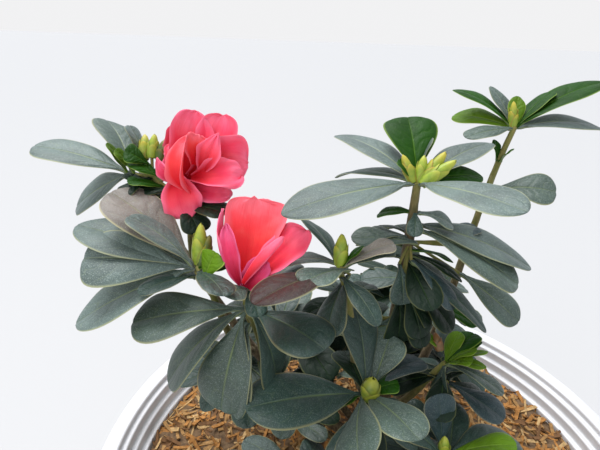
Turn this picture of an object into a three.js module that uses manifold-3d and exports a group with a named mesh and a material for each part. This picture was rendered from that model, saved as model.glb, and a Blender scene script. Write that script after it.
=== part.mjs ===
// A young potted azalea in a round white nursery pot, in millimetres, +Z up.
// The origin is the middle of the pot's flat underside, and +Y runs away from the front of the plant.
import * as THREE from "three";
import { mergeVertices } from "three/addons/utils/BufferGeometryUtils.js";
import Module from "manifold-3d";

const wasm = await Module();
wasm.setup();

// Pot: a tapered wall, three inner ledges under a flat rim, and a lip turned down outside
const potRadius = 150;
const potHeight = 240;
const potFootRadius = 108;
const potWall = 3;
const rimWidth = 9.7;
const lipDrop = 26;
const lipTaper = 1;
const ledgeCount = 3;
const ledgeWidth = 3.2;
const ledgeDrop = 6.2;
const firstLedge = 0.6; // depth of the first ledge, as a share of ledgeDrop
const turnedSides = 36;

// Soil: its edge lies under the ledges, and the middle is heaped a little round the stem
const soilEdgeHeight = 221;
const soilMiddleHeight = 226;
const soilFlatRadius = 14;
const soilShoulder = { share: 0.55, drop: 1.5 }; // share of the wall's radius, and depth below the middle

// Clearance that keeps two touching pieces apart, and the distance at which corners merge
const gap = 0.3;
const weldDistance = 1e-4;

// Main stem: root flare at the soil, then a steady taper to the top whorl
const stemFootRadius = 6;
const stemTipRadius = 1.6;
const stemFlare = 0.7;
const stemFlareHeight = 14;
const stemLean = [2, 4]; // how far the stem bows out below its top
const stemSides = 8;

// Boughs: radius at the whorl, and how far they run out and up at each end, in shares of their span
const boughTipRadius = 1.3;
const boughSides = 6;
const boughLeave = { out: 0.3, up: 0.12 };
const boughArrive = { out: 0.16, up: 0.5 };
const limbStep = 26;

// Foliage: the packed heart of a whorl, and how broad a leaf makes its lobe, in degrees
const heartRadius = 15;
const lobeBreadth = 24;
const leafClearance = 0.6;
const smallestEdge = 0.12;
const massDetail = { fine: 3, rough: 2 };

// How the leaves dealt round a whorl differ: degrees of turn and lift, and shares of their reach
const goldenTurn = 137.5;
const turnPerPlace = 3;
const liftSway = { degrees: 18, step: 2.4 };
const reachSway = { mean: 0.92, share: 0.08, step: 1.7 };
const youngShoot = { lift: 88, reach: 0.6 };

// Each whorl has its place, its longest leaves as [turn, lift, reach], and how the rest of its leaves lie.
// turn is the compass angle from +X, lift the slope above level, and reach the distance to the leaf's tip.
const whorls = {
  top_centre: {
    place: [3, 0, 398],
    leaves: [[-165, -10, 58], [-125, 60, 37], [130, 10, 52], [30, 15, 45], [-55, 5, 48], [75, 10, 42]],
    others: { count: 5, lift: 20, reach: 34 },
  },
  top_left: {
    place: [-121, 15, 393],
    leaves: [[173, 12, 46], [125, 30, 42], [160, -35, 46], [-90, 40, 30], [95, 5, 40], [70, -45, 36]],
    others: { count: 4, lift: 10, reach: 30 },
  },
  top_right: {
    place: [57, 41, 414],
    leaves: [
      [140, 25, 37], [-175, 10, 33], [-78, 30, 52], [6, 0, 50], [30, 35, 30], [60, 5, 42], [100, 60, 30],
    ],
    others: { count: 4, lift: 5, reach: 30 },
  },
  flower_upper: {
    place: [-92, -1, 392],
    leaves: [[-60, 50, 36], [20, 50, 34], [-120, 20, 28], [120, 50, 30]],
    others: { count: 5, lift: 20, reach: 27 },
  },
  flower_lower: {
    place: [-59, -25, 374],
    leaves: [[0, 45, 28], [180, 45, 28], [-90, 50, 24], [90, 40, 24]],
    others: { count: 5, lift: 25, reach: 23 },
  },
  middle_left: {
    place: [-86, -19, 363],
    leaves: [[-130, 25, 48], [-142, 50, 48], [150, 15, 46], [168, 5, 54], [-165, -22, 53], [100, 5, 36]],
    others: { count: 4, lift: -5, reach: 32 },
  },
  upper_centre: {
    place: [2, -1, 366],
    leaves: [
      [3, -18, 57], [8, -13, 62], [-62, 3, 58], [-5, -45, 56], [180, -55, 48], [60, -10, 44], [120, -15, 42],
    ],
    others: { count: 4, lift: -30, reach: 36 },
  },
  flower_shoot: {
    place: [-28, -19, 365],
    leaves: [[-140, 2, 45], [135, -18, 34], [60, 12, 32], [-60, 20, 36], [40, 5, 36]],
    others: { count: 4, lift: 0, reach: 28 },
  },
  front_left: {
    place: [-65, -27, 345],
    leaves: [[-133, 12, 48], [-162, -44, 46], [-95, -14, 45], [-20, -70, 38], [-45, 2, 42], [60, 5, 32]],
    others: { count: 4, lift: -20, reach: 30 },
  },
  centre_front: {
    place: [-14, -28, 309],
    leaves: [[-158, 10, 54], [-100, 0, 38], [-63, 12, 43], [97, 32, 40], [58, 16, 36], [150, 0, 34]],
    others: { count: 4, lift: -15, reach: 32 },
  },
  low_right: {
    place: [27, -8, 311],
    leaves: [[-40, 60, 24], [-66, 18, 38], [-2, -40, 44], [-165, -60, 30], [60, -10, 38]],
    others: { count: 5, lift: 0, reach: 30 },
  },
  low_front: {
    place: [22, -39, 284],
    leaves: [[-110, 20, 42], [-40, 10, 44], [20, 0, 40], [160, 40, 36]],
    others: { count: 6, lift: 5, reach: 36 },
  },
  back_high: {
    place: [28, 60, 316],
    leaves: [],
    others: { count: 10, lift: -12, reach: 40 },
  },
  back_middle: {
    place: [-8, 62, 292],
    leaves: [],
    others: { count: 10, lift: -5, reach: 42 },
  },
  back_left: {
    place: [-48, 38, 298],
    leaves: [],
    others: { count: 10, lift: -5, reach: 42 },
  },
  back_right: {
    place: [38, 52, 276],
    leaves: [],
    others: { count: 9, lift: -5, reach: 36 },
  },
  low_left: {
    place: [-74, 14, 290],
    leaves: [],
    others: { count: 9, lift: -8, reach: 38 },
  },
  far_front: {
    place: [-6, -90, 282],
    leaves: [],
    others: { count: 10, lift: -5, reach: 42 },
  },
  front_corner_left: {
    place: [-56, -70, 284],
    leaves: [],
    others: { count: 10, lift: -10, reach: 42 },
  },
  front_corner_right: {
    place: [50, -78, 280],
    leaves: [],
    others: { count: 10, lift: -5, reach: 42 },
  },
};
const roughWhorls = ["back_high", "back_middle", "back_left", "back_right", "low_left", "far_front",
  "front_corner_left", "front_corner_right"];

// Each bough leaves another limb at a share of its length and curves up to the whorl that it carries
const boughs = {
  bough_left: { parent: "main_stem", share: 0.1, whorl: "top_left", radius: 3.4, rise: 0.55 },
  bough_flower_upper: { parent: "bough_left", share: 0.74, whorl: "flower_upper", radius: 1.9, rise: 0.3 },
  bough_middle_left: { parent: "bough_left", share: 0.46, whorl: "middle_left", radius: 2.2, rise: 0.35 },
  bough_front_left: { parent: "bough_left", share: 0.3, whorl: "front_left", radius: 2.3, rise: 0.35 },
  bough_flower_shoot: { parent: "main_stem", share: 0.3, whorl: "flower_shoot", radius: 2.4, rise: 0.6 },
  bough_centre_front: { parent: "main_stem", share: 0.16, whorl: "centre_front", radius: 2.4, rise: 0.5 },
  bough_right: { parent: "main_stem", share: 0.2, whorl: "top_right", radius: 2.8, rise: 0.6 },
  bough_low_right: { parent: "main_stem", share: 0.26, whorl: "low_right", radius: 2.2, rise: 0.5 },
  bough_low_front: { parent: "main_stem", share: 0.08, whorl: "low_front", radius: 2.2, rise: 0.5 },
  bough_back_high: { parent: "main_stem", share: 0.14, whorl: "back_high", radius: 2.4, rise: 0.5 },
  bough_back_middle: { parent: "main_stem", share: 0.06, whorl: "back_middle", radius: 2.4, rise: 0.5 },
  bough_back_left: { parent: "main_stem", share: 0.12, whorl: "back_left", radius: 2.4, rise: 0.5 },
  bough_back_right: { parent: "main_stem", share: 0.07, whorl: "back_right", radius: 2.2, rise: 0.5 },
  bough_low_left: { parent: "main_stem", share: 0.05, whorl: "low_left", radius: 2.2, rise: 0.5 },
  bough_far_front: { parent: "main_stem", share: 0.09, whorl: "far_front", radius: 2.4, rise: 0.5 },
  bough_corner_left: { parent: "main_stem", share: 0.07, whorl: "front_corner_left", radius: 2.4, rise: 0.5 },
  bough_corner_right: { parent: "main_stem", share: 0.05, whorl: "front_corner_right", radius: 2.4, rise: 0.5 },
};

const plastic = new THREE.MeshStandardMaterial({ color: 0xeceae6, roughness: 0.45, metalness: 0 });
const mulch = new THREE.MeshStandardMaterial({ color: 0xa9713f, roughness: 0.95, metalness: 0 });
const bark = new THREE.MeshStandardMaterial({ color: 0x6d5a3a, roughness: 0.85, metalness: 0 });
const leaf = new THREE.MeshStandardMaterial({ color: 0x5f7d5a, roughness: 0.6, metalness: 0 });

// A closed geometry as a solid, turned inside out first if its faces point inward
function solidOf(geometry) {
  geometry.deleteAttribute("normal");
  geometry.deleteAttribute("uv");
  const merged = mergeVertices(geometry, weldDistance);
  const place = merged.attributes.position;
  const index = Array.from(merged.index.array);
  const kept = [];
  let volume = 0;
  const [a, b, c] = [new THREE.Vector3(), new THREE.Vector3(), new THREE.Vector3()];
  for (let i = 0; i < index.length; i += 3) {
    const [p, q, r] = index.slice(i, i + 3);
    if (p === q || q === r || r === p) continue;
    a.fromBufferAttribute(place, p);
    b.fromBufferAttribute(place, q);
    c.fromBufferAttribute(place, r);
    volume += a.dot(b.cross(c));
    kept.push([p, q, r]);
  }
  const faces = volume < 0 ? kept.map(([p, q, r]) => [p, r, q]) : kept;
  return new wasm.Manifold(new wasm.Mesh({
    numProp: 3,
    vertProperties: new Float32Array(place.array),
    triVerts: new Uint32Array(faces.flat()),
  }));
}

function meshOf(name, solid, material) {
  const cut = solid.getMesh();
  const geometry = new THREE.BufferGeometry();
  geometry.setAttribute("position", new THREE.BufferAttribute(new Float32Array(cut.vertProperties), 3));
  geometry.setIndex(Array.from(cut.triVerts));
  geometry.computeVertexNormals();
  const mesh = new THREE.Mesh(geometry, material);
  mesh.name = name;
  return mesh;
}

// A profile of [radius, height] pairs turned round the upright axis
function turned(profile) {
  const points = profile.map(([radius, height]) => new THREE.Vector2(radius, height));
  const geometry = new THREE.LatheGeometry(points, turnedSides);
  geometry.rotateX(Math.PI / 2);
  return solidOf(geometry);
}

const ringFoot = potHeight - lipDrop;
const ledgeRadius = (index) => potRadius - rimWidth - ledgeWidth * index;
const wallInnerRadius = ledgeRadius(ledgeCount);

function innerLedges() {
  const profile = [];
  for (let i = 0; i < ledgeCount; i += 1) {
    const height = potHeight - ledgeDrop * (i + firstLedge);
    profile.push([ledgeRadius(i), height], [ledgeRadius(i + 1), height]);
  }
  return profile;
}

// The floor and the tapered wall, up to the underside of the rim's ring
function potSolid() {
  return turned([
    [0, 0],
    [potFootRadius, 0],
    [innerRadiusAt(ringFoot) + potWall, ringFoot],
    [innerRadiusAt(ringFoot), ringFoot],
    [innerRadiusAt(potWall), potWall],
    [0, potWall],
  ]);
}

// The stiff ring at the top: ledges inside, flat rim, and the lip that hangs free outside
function rimSolid() {
  const foot = ringFoot + gap;
  const underside = potHeight - potWall;
  const profile = [
    [innerRadiusAt(foot), foot],
    [innerRadiusAt(foot) + potWall, foot],
    [ledgeRadius(0) + potWall / 2, underside],
    [potRadius - potWall, underside],
    [potRadius - potWall - lipTaper, ringFoot],
    [potRadius - lipTaper, ringFoot],
    [potRadius, potHeight],
    [ledgeRadius(0), potHeight],
    ...innerLedges(),
  ];
  return turned([...profile, profile[0]]);
}

// The wall's inner face leans out from the floor to the lowest ledge
function innerRadiusAt(height) {
  const lowestLedge = potHeight - ledgeDrop * (ledgeCount - 1 + firstLedge);
  const share = (height - potWall) / (lowestLedge - potWall);
  return THREE.MathUtils.lerp(potFootRadius - potWall, wallInnerRadius, share);
}

function soilSolid() {
  const floor = potWall + gap;
  return turned([
    [0, floor],
    [innerRadiusAt(floor) - gap, floor],
    [innerRadiusAt(soilEdgeHeight) - gap, soilEdgeHeight],
    [innerRadiusAt(soilEdgeHeight) * soilShoulder.share, soilMiddleHeight - soilShoulder.drop],
    [soilFlatRadius, soilMiddleHeight],
    [0, soilMiddleHeight],
  ]);
}

// The path of each limb as one curve that leaves its parent and ends upright in its whorl
function stemPath() {
  const foot = new THREE.Vector3(0, 0, soilMiddleHeight + gap);
  const tip = new THREE.Vector3(...whorls.top_centre.place);
  const third = (tip.z - foot.z) / 3;
  const above = foot.clone().add(new THREE.Vector3(0, 0, third));
  const below = tip.clone().add(new THREE.Vector3(...stemLean, -third));
  return new THREE.CubicBezierCurve3(foot, above, below, tip);
}

function boughPath(bough, parentPath) {
  const start = parentPath.getPointAt(bough.share);
  const tip = new THREE.Vector3(...whorls[bough.whorl].place);
  const span = start.distanceTo(tip);
  const outward = tip.clone().sub(start).setZ(0).normalize();
  const climb = bough.rise * boughArrive.up;
  const leave = outward.clone().multiplyScalar(span * boughLeave.out).setZ(span * boughLeave.up);
  const arrive = outward.clone().multiplyScalar(-span * boughArrive.out).setZ(-span * climb);
  return new THREE.CubicBezierCurve3(start, start.clone().add(leave), tip.clone().add(arrive), tip);
}

// A round limb along a path: a cylinder whose rings are moved to the path and sized by share of length
function limbSolid(path, sides, radiusAt) {
  const length = path.getLength();
  const steps = Math.max(3, Math.round(length / limbStep));
  const geometry = new THREE.CylinderGeometry(1, 1, 1, sides, steps);
  const frames = path.computeFrenetFrames(steps);
  const place = geometry.attributes.position;
  for (let i = 0; i < place.count; i += 1) {
    const share = place.getY(i) + 0.5;
    const ring = Math.round(share * steps);
    const radius = radiusAt(share, length);
    const point = path.getPointAt(ring / steps)
      .addScaledVector(frames.normals[ring], place.getX(i) * radius)
      .addScaledVector(frames.binormals[ring], place.getZ(i) * radius);
    place.setXYZ(i, point.x, point.y, point.z);
  }
  return solidOf(geometry);
}

const stemRadiusAt = (grow) => (share, length) => THREE.MathUtils.lerp(stemFootRadius, stemTipRadius, share)
  * (1 + stemFlare * Math.exp((-share * length) / stemFlareHeight)) + grow;

const boughRadiusAt = (bough, grow) => (share) => (
  THREE.MathUtils.lerp(bough.radius, boughTipRadius, share) + grow);

function compassDirection(turn, lift) {
  const [around, up] = [THREE.MathUtils.degToRad(turn), THREE.MathUtils.degToRad(lift)];
  return new THREE.Vector3(Math.cos(around) * Math.cos(up), Math.sin(around) * Math.cos(up), Math.sin(up));
}

// The longest leaves as given, and the rest dealt round the whorl by the golden turn
function leafLobes(whorl) {
  const lobes = whorl.leaves.map(([turn, lift, reach]) => ({ toward: compassDirection(turn, lift), reach }));
  for (let i = 0; i < whorl.others.count; i += 1) {
    const turn = i * goldenTurn + whorl.place[1] * turnPerPlace;
    const lift = whorl.others.lift + liftSway.degrees * Math.sin(i * liftSway.step + whorl.place[0]);
    const share = reachSway.mean + reachSway.share * Math.cos(i * reachSway.step + whorl.place[1]);
    lobes.push({ toward: compassDirection(turn, lift), reach: whorl.others.reach * share });
  }
  lobes.push({ toward: compassDirection(0, youngShoot.lift), reach: whorl.others.reach * youngShoot.reach });
  return lobes;
}

// One mass of foliage: a faceted ball whose corners are pushed out where a leaf lies
function massSolid(name, grow) {
  const whorl = whorls[name];
  const lobes = leafLobes(whorl);
  const detail = roughWhorls.includes(name) ? massDetail.rough : massDetail.fine;
  const ball = new THREE.IcosahedronGeometry(1, detail);
  ball.deleteAttribute("normal");
  ball.deleteAttribute("uv");
  const merged = mergeVertices(ball, weldDistance);
  const place = merged.attributes.position;
  const corners = Array.from({ length: place.count }, (_, i) => {
    const toward = new THREE.Vector3().fromBufferAttribute(place, i).normalize();
    const reach = lobes.reduce((longest, lobe) => {
      const off = THREE.MathUtils.radToDeg(toward.angleTo(lobe.toward)) / lobeBreadth;
      return Math.max(longest, heartRadius + (lobe.reach - heartRadius) * Math.exp(-off * off));
    }, heartRadius);
    return { toward, reach };
  });
  // The corner nearest to each leaf moves right to its tip
  for (const lobe of lobes) {
    const nearest = corners.reduce((best, corner) => (
      corner.toward.dot(lobe.toward) > best.toward.dot(lobe.toward) ? corner : best));
    nearest.toward = lobe.toward;
    nearest.reach = lobe.reach;
  }
  const centre = new THREE.Vector3(...whorl.place);
  corners.forEach(({ toward, reach }, i) => {
    const point = toward.clone().multiplyScalar(reach + grow).add(centre);
    place.setXYZ(i, point.x, point.y, point.z);
  });
  return solidOf(merged);
}

// The largest piece of a cut solid, without crumbs or needle-thin edges
function largestPiece(solid) {
  const pieces = solid.simplify(smallestEdge).decompose();
  return pieces.reduce((best, piece) => (piece.volume() > best.volume() ? piece : best));
}

// The piece of a limb that still holds its foot
function footPiece(solid, foot) {
  const pieces = solid.simplify(smallestEdge).decompose();
  const distance = (piece) => {
    const { min, max } = piece.boundingBox();
    return new THREE.Box3(new THREE.Vector3(...min), new THREE.Vector3(...max)).distanceToPoint(foot);
  };
  return pieces.reduce((best, piece) => (distance(piece) < distance(best) ? piece : best));
}

const shrub = new THREE.Group();
shrub.name = "potted_azalea";
shrub.add(meshOf("pot", potSolid(), plastic));
shrub.add(meshOf("pot_rim", rimSolid(), plastic));
shrub.add(meshOf("soil", soilSolid(), mulch));

const names = Object.keys(whorls);
const grownMass = Object.fromEntries(names.map((name) => [name, massSolid(name, leafClearance)]));

// The main stem runs whole through the upper whorl and ends in the top one
const paths = { main_stem: stemPath() };
const stem = limbSolid(paths.main_stem, stemSides, stemRadiusAt(0)).subtract(grownMass.top_centre);
const grownStem = limbSolid(paths.main_stem, stemSides, stemRadiusAt(gap));
shrub.add(meshOf("main_stem", footPiece(stem, paths.main_stem.getPointAt(0)), bark));

// Whorls that come first in the list keep their shape, and later ones are cut back from them
const masses = {};
names.forEach((name, order) => {
  const keepsStem = name !== "top_centre";
  let solid = massSolid(name, 0);
  for (const earlier of names.slice(0, order)) solid = solid.subtract(grownMass[earlier]);
  if (keepsStem) solid = solid.subtract(grownStem);
  masses[name] = largestPiece(solid);
});

// Boughs end where they enter a mass, and start a hair away from the limb that carries them
const grownLimbs = { main_stem: grownStem };
for (const [name, bough] of Object.entries(boughs)) {
  paths[name] = boughPath(bough, paths[bough.parent]);
  let solid = limbSolid(paths[name], boughSides, boughRadiusAt(bough, 0));
  for (const grown of Object.values(grownMass)) solid = solid.subtract(grown);
  for (const grown of Object.values(grownLimbs)) solid = solid.subtract(grown);
  grownLimbs[name] = limbSolid(paths[name], boughSides, boughRadiusAt(bough, gap));
  if (!solid.isEmpty()) shrub.add(meshOf(name, footPiece(solid, paths[name].getPointAt(0)), bark));
}

for (const name of names) shrub.add(meshOf(`foliage_${name}`, masses[name], leaf));

export default shrub;
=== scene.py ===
# A young azalea with two double coral blooms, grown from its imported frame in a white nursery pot
import math

import bpy
import numpy as np
from mathutils import Matrix, Vector


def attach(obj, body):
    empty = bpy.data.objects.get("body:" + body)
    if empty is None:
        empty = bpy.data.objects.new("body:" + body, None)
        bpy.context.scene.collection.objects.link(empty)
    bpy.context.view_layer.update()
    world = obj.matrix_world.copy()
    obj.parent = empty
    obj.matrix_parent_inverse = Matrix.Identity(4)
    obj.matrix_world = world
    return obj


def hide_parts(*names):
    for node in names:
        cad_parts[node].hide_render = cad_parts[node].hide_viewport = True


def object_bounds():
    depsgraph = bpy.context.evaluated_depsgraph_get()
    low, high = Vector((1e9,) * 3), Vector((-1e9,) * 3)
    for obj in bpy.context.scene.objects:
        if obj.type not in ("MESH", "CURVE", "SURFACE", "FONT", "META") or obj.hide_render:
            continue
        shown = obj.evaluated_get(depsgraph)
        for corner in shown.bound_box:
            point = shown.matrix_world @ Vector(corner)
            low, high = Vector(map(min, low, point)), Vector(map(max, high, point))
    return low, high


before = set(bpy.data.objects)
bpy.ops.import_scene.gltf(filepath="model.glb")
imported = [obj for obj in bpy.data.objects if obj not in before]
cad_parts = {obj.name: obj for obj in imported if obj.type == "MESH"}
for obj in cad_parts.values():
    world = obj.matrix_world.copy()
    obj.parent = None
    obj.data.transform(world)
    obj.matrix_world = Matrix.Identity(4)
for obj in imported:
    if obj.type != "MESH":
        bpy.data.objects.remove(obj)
cadLow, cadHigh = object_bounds()
mm = 0.001
goldenTurn = 137.5
print("frame loaded:", len(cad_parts), "nodes")

# Camera at the photo's place and angle, in mm and degrees
cameraSet = {
    "eye": (-44.8, -175.7, 456.0),
    "pitch": 24.302,  # downwards
    "roll": 2.042,
    "lens": 26.7,
    "sensor": 36.0,
    "near": 0.005,  # metres
}


def cameraAxes():
    pitch, roll = math.radians(cameraSet["pitch"]), math.radians(cameraSet["roll"])
    forward = Vector((0, math.cos(pitch), -math.sin(pitch)))
    level = Vector((1, 0, 0))
    above = Vector((0, math.sin(pitch), math.cos(pitch)))
    right = level * math.cos(roll) + above * math.sin(roll)
    up = above * math.cos(roll) - level * math.sin(roll)
    return right, up, forward


# A new object, linked into the scene
def placed(name, data):
    thing = bpy.data.objects.new(name, data)
    bpy.context.scene.collection.objects.link(thing)
    return thing


def setCamera():
    right, up, forward = cameraAxes()
    data = bpy.data.cameras.new("camera")
    data.lens = cameraSet["lens"]
    data.sensor_width = cameraSet["sensor"]
    data.clip_start = cameraSet["near"]
    camera = placed("camera", data)
    turn = Matrix((right, up, -forward)).transposed().to_4x4()
    camera.matrix_world = Matrix.Translation(Vector(cameraSet["eye"]) * mm) @ turn
    bpy.context.scene.camera = camera


# Studio: pale floor, pale surroundings and two large soft lights, in metres and watts
studioSet = {
    "floorSize": 14.0,
    "floorColour": (0.50, 0.495, 0.49, 1),
    "skyColour": (0.86, 0.90, 0.97, 1),
    "skyStrength": 0.85,
    "backColour": (1.04, 1.04, 1.05, 1),
    "overhead": {"from": (-0.5, 0.7, 1.9), "spread": 42, "strength": 3.4, "colour": (0.97, 0.98, 1.0)},
    "frontFill": {"place": (-0.9, -1.3, 1.2), "size": 1.2, "power": 9, "colour": (1.0, 0.97, 0.93)},
}


# An even overhead light, as soft as a large diffuser
def addOverhead(look):
    data = bpy.data.lights.new("overhead", "SUN")
    data.angle = math.radians(look["spread"])
    data.energy = look["strength"]
    data.color = look["colour"]
    lamp = placed("overhead", data)
    lamp.rotation_euler = (-Vector(look["from"])).to_track_quat("-Z", "Y").to_euler()


def addSoftLight(name, look):
    data = bpy.data.lights.new(name, "AREA")
    data.shape = "SQUARE"
    data.size = look["size"]
    data.energy = look["power"]
    data.color = look["colour"]
    lamp = placed(name, data)
    lamp.location = look["place"]
    aim = (cadLow + cadHigh) * 0.5 - Vector(look["place"])
    lamp.rotation_euler = aim.to_track_quat("-Z", "Y").to_euler()


# Small node helpers, the same for shaders and Geometry Nodes
def feed(tree, socket, value):
    if isinstance(value, bpy.types.NodeSocket):
        tree.links.new(value, socket)
    else:
        socket.default_value = value


# Inputs are given by label, or as i0, i1 and so on by their number
def addNode(tree, kind, settings=None, **inputs):
    node = tree.nodes.new(kind)
    for key, value in (settings or {}).items():
        setattr(node, key, value)
    for key, value in inputs.items():
        numbered = key[0] == "i" and key[1:].isdigit()
        feed(tree, node.inputs[int(key[1:]) if numbered else key], value)
    return node


def maths(tree, operation, first, second=0.0, third=0.0):
    node = addNode(tree, "ShaderNodeMath", {"operation": operation}, i0=first, i1=second, i2=third)
    return node.outputs[0]


def vectorMaths(tree, operation, first, second=(0, 0, 0)):
    node = addNode(tree, "ShaderNodeVectorMath", {"operation": operation}, i0=first, i1=second)
    return node.outputs[0]


def scaled(tree, vector, factor):
    node = addNode(tree, "ShaderNodeVectorMath", {"operation": "SCALE"}, i0=vector)
    feed(tree, node.inputs[3], factor)
    return node.outputs[0]


def smoothStep(tree, value, low, high, start=0.0, end=1.0):
    settings = {"interpolation_type": "SMOOTHSTEP"}
    node = addNode(tree, "ShaderNodeMapRange", settings, i0=value, i1=low, i2=high, i3=start, i4=end)
    return node.outputs[0]


def blendColour(tree, amount, first, second):
    node = addNode(tree, "ShaderNodeMix", {"data_type": "RGBA"}, i0=amount, i6=first, i7=second)
    return node.outputs[2]


def noise(tree, vector, scale, detail=2.0, rough=0.5):
    node = addNode(tree, "ShaderNodeTexNoise", None, Vector=vector, Scale=scale, Detail=detail,
                   Roughness=rough)
    return node.outputs[0]


def bump(tree, height, strength, distance):
    node = addNode(tree, "ShaderNodeBump", None, Height=height, Strength=strength, Distance=distance)
    return node.outputs[0]


def splitVector(tree, vector):
    return addNode(tree, "ShaderNodeSeparateXYZ", None, i0=vector).outputs


def joinVector(tree, x=0.0, y=0.0, z=0.0):
    return addNode(tree, "ShaderNodeCombineXYZ", None, i0=x, i1=y, i2=z).outputs[0]


# Share along a blade, and distance from its middle line in half widths, from the blade's map
def alongAcross(tree, surface):
    split = splitVector(tree, surface)
    return split[0], maths(tree, "ABSOLUTE", maths(tree, "MULTIPLY_ADD", split[1], 2.0, -1.0))


lightDepth = 0.004  # metres that light goes into a petal


def newMaterial(name, roughness, specular, sheen=0.0, sheenRough=0.4, tint=(1, 1, 1, 1), subsurface=0.0):
    material = bpy.data.materials.new(name)
    material.use_nodes = True
    shader = material.node_tree.nodes["Principled BSDF"]
    shader.inputs["Roughness"].default_value = roughness
    shader.inputs["Specular IOR Level"].default_value = specular
    shader.inputs["Sheen Weight"].default_value = sheen
    shader.inputs["Sheen Roughness"].default_value = sheenRough
    shader.inputs["Sheen Tint"].default_value = tint
    shader.inputs["Subsurface Weight"].default_value = subsurface
    shader.inputs["Subsurface Scale"].default_value = lightDepth
    return material, material.node_tree, shader


def objectPlace(tree):
    return tree.nodes.new("ShaderNodeTexCoord").outputs["Object"]


def surfaceMap(tree):
    return addNode(tree, "ShaderNodeUVMap", {"uv_map": "along"}).outputs[0]


def attributeValue(tree, name):
    return addNode(tree, "ShaderNodeAttribute", {"attribute_name": name}).outputs["Fac"]


def newGroup(name, kind, inputs, outputs):
    tree = bpy.data.node_groups.new(name, kind)
    for label, socketKind, value in inputs:
        socket = tree.interface.new_socket(label, in_out="INPUT", socket_type=socketKind)
        if value is not None:
            socket.default_value = value
    for label, socketKind in outputs:
        tree.interface.new_socket(label, in_out="OUTPUT", socket_type=socketKind)
    return tree, tree.nodes.new("NodeGroupInput"), tree.nodes.new("NodeGroupOutput")


def placeGroup(tree, group, **inputs):
    node = addNode(tree, "ShaderNodeGroup", {"node_tree": group})
    for label, value in inputs.items():
        feed(tree, node.inputs[label], value)
    return node.outputs


# Where a leaf's lines lie, in shares of its half width unless said
veinLook = {
    "veins": 5.0,  # side veins along the leaf
    "ribHalf": (0.105, -0.07),  # at the foot, and what is added to it up to the tip
    "wobble": (5.0, 1.6),  # how fine it is, and how far it moves the veins
    "curve": 1.3,
    "lean": -1.5,
    "veinHalf": 0.07,  # share of the way to the next vein
    "fade": (0.7, 0.97),
    "panel": 0.4,  # share of the way to the next vein
    "cells": (34.0, 20.0, 1.0),  # cells of the net along and across the leaf
    "netHalf": 0.16,  # share of a cell
    "margin": (0.91, 0.99),
}


# Rib, side veins, net, margin and puffed panels of a leaf, from its map along and across
def leafVeinGroup():
    look = veinLook
    wanted = [(label, "NodeSocketFloat") for label in ("Rib", "Vein", "Net", "Edge", "Puff", "Along")]
    given = [("Map", "NodeSocketVector", None), ("Veins", "NodeSocketFloat", look["veins"])]
    tree, start, end = newGroup("leafVeins", "ShaderNodeTree", given, wanted)
    surface = start.outputs["Map"]
    along, across = alongAcross(tree, surface)
    widest, narrowing = look["ribHalf"]
    ribHalf = maths(tree, "MULTIPLY_ADD", along, narrowing, widest)
    feed(tree, end.inputs["Rib"], smoothStep(tree, across, 0.0, ribHalf, 1.0, 0.0))
    fineness, shift = look["wobble"]
    wobble = noise(tree, scaled(tree, surface, fineness), 1.0)
    lean = maths(tree, "MULTIPLY", maths(tree, "POWER", across, look["curve"]), look["lean"])
    phase = maths(tree, "MULTIPLY_ADD", along, start.outputs["Veins"], lean)
    phase = maths(tree, "MULTIPLY_ADD", wobble, shift, phase)
    off = maths(tree, "ABSOLUTE", maths(tree, "SUBTRACT", maths(tree, "FRACT", phase), 0.5))
    line = smoothStep(tree, off, 0.0, look["veinHalf"], 1.0, 0.0)
    panel = smoothStep(tree, off, 0.0, look["panel"])
    fade = smoothStep(tree, across, *look["fade"], 1.0, 0.0)
    feed(tree, end.inputs["Vein"], maths(tree, "MULTIPLY", line, fade))
    feed(tree, end.inputs["Puff"], maths(tree, "MULTIPLY", panel, fade))
    cells = addNode(tree, "ShaderNodeTexVoronoi", {"feature": "DISTANCE_TO_EDGE"}, Scale=1.0)
    feed(tree, cells.inputs["Vector"], vectorMaths(tree, "MULTIPLY", surface, look["cells"]))
    feed(tree, end.inputs["Net"], smoothStep(tree, cells.outputs[0], 0.0, look["netHalf"], 1.0, 0.0))
    feed(tree, end.inputs["Edge"], smoothStep(tree, across, *look["margin"]))
    feed(tree, end.inputs["Along"], along)
    return tree


hairLook = {
    "grain": 2300.0,
    "fleck": (0.50, 0.70),
    "patches": 60.0,
    "patch": (0.35, 0.65),
    "colour": (0.40, 0.47, 0.44, 1),
}


# Fine pressed hairs and slow patches, from Object coordinates
def hairGroup():
    look = hairLook
    wanted = [(label, "NodeSocketFloat") for label in ("Fleck", "Grain", "Patch")]
    tree, start, end = newGroup("leafHairs", "ShaderNodeTree", [("Place", "NodeSocketVector", None)], wanted)
    place = start.outputs["Place"]
    grain = noise(tree, place, look["grain"], 2.0, 0.6)
    feed(tree, end.inputs["Grain"], grain)
    feed(tree, end.inputs["Fleck"], smoothStep(tree, grain, *look["fleck"]))
    patches = noise(tree, place, look["patches"], 3.0)
    feed(tree, end.inputs["Patch"], smoothStep(tree, patches, *look["patch"]))
    return tree


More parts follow.
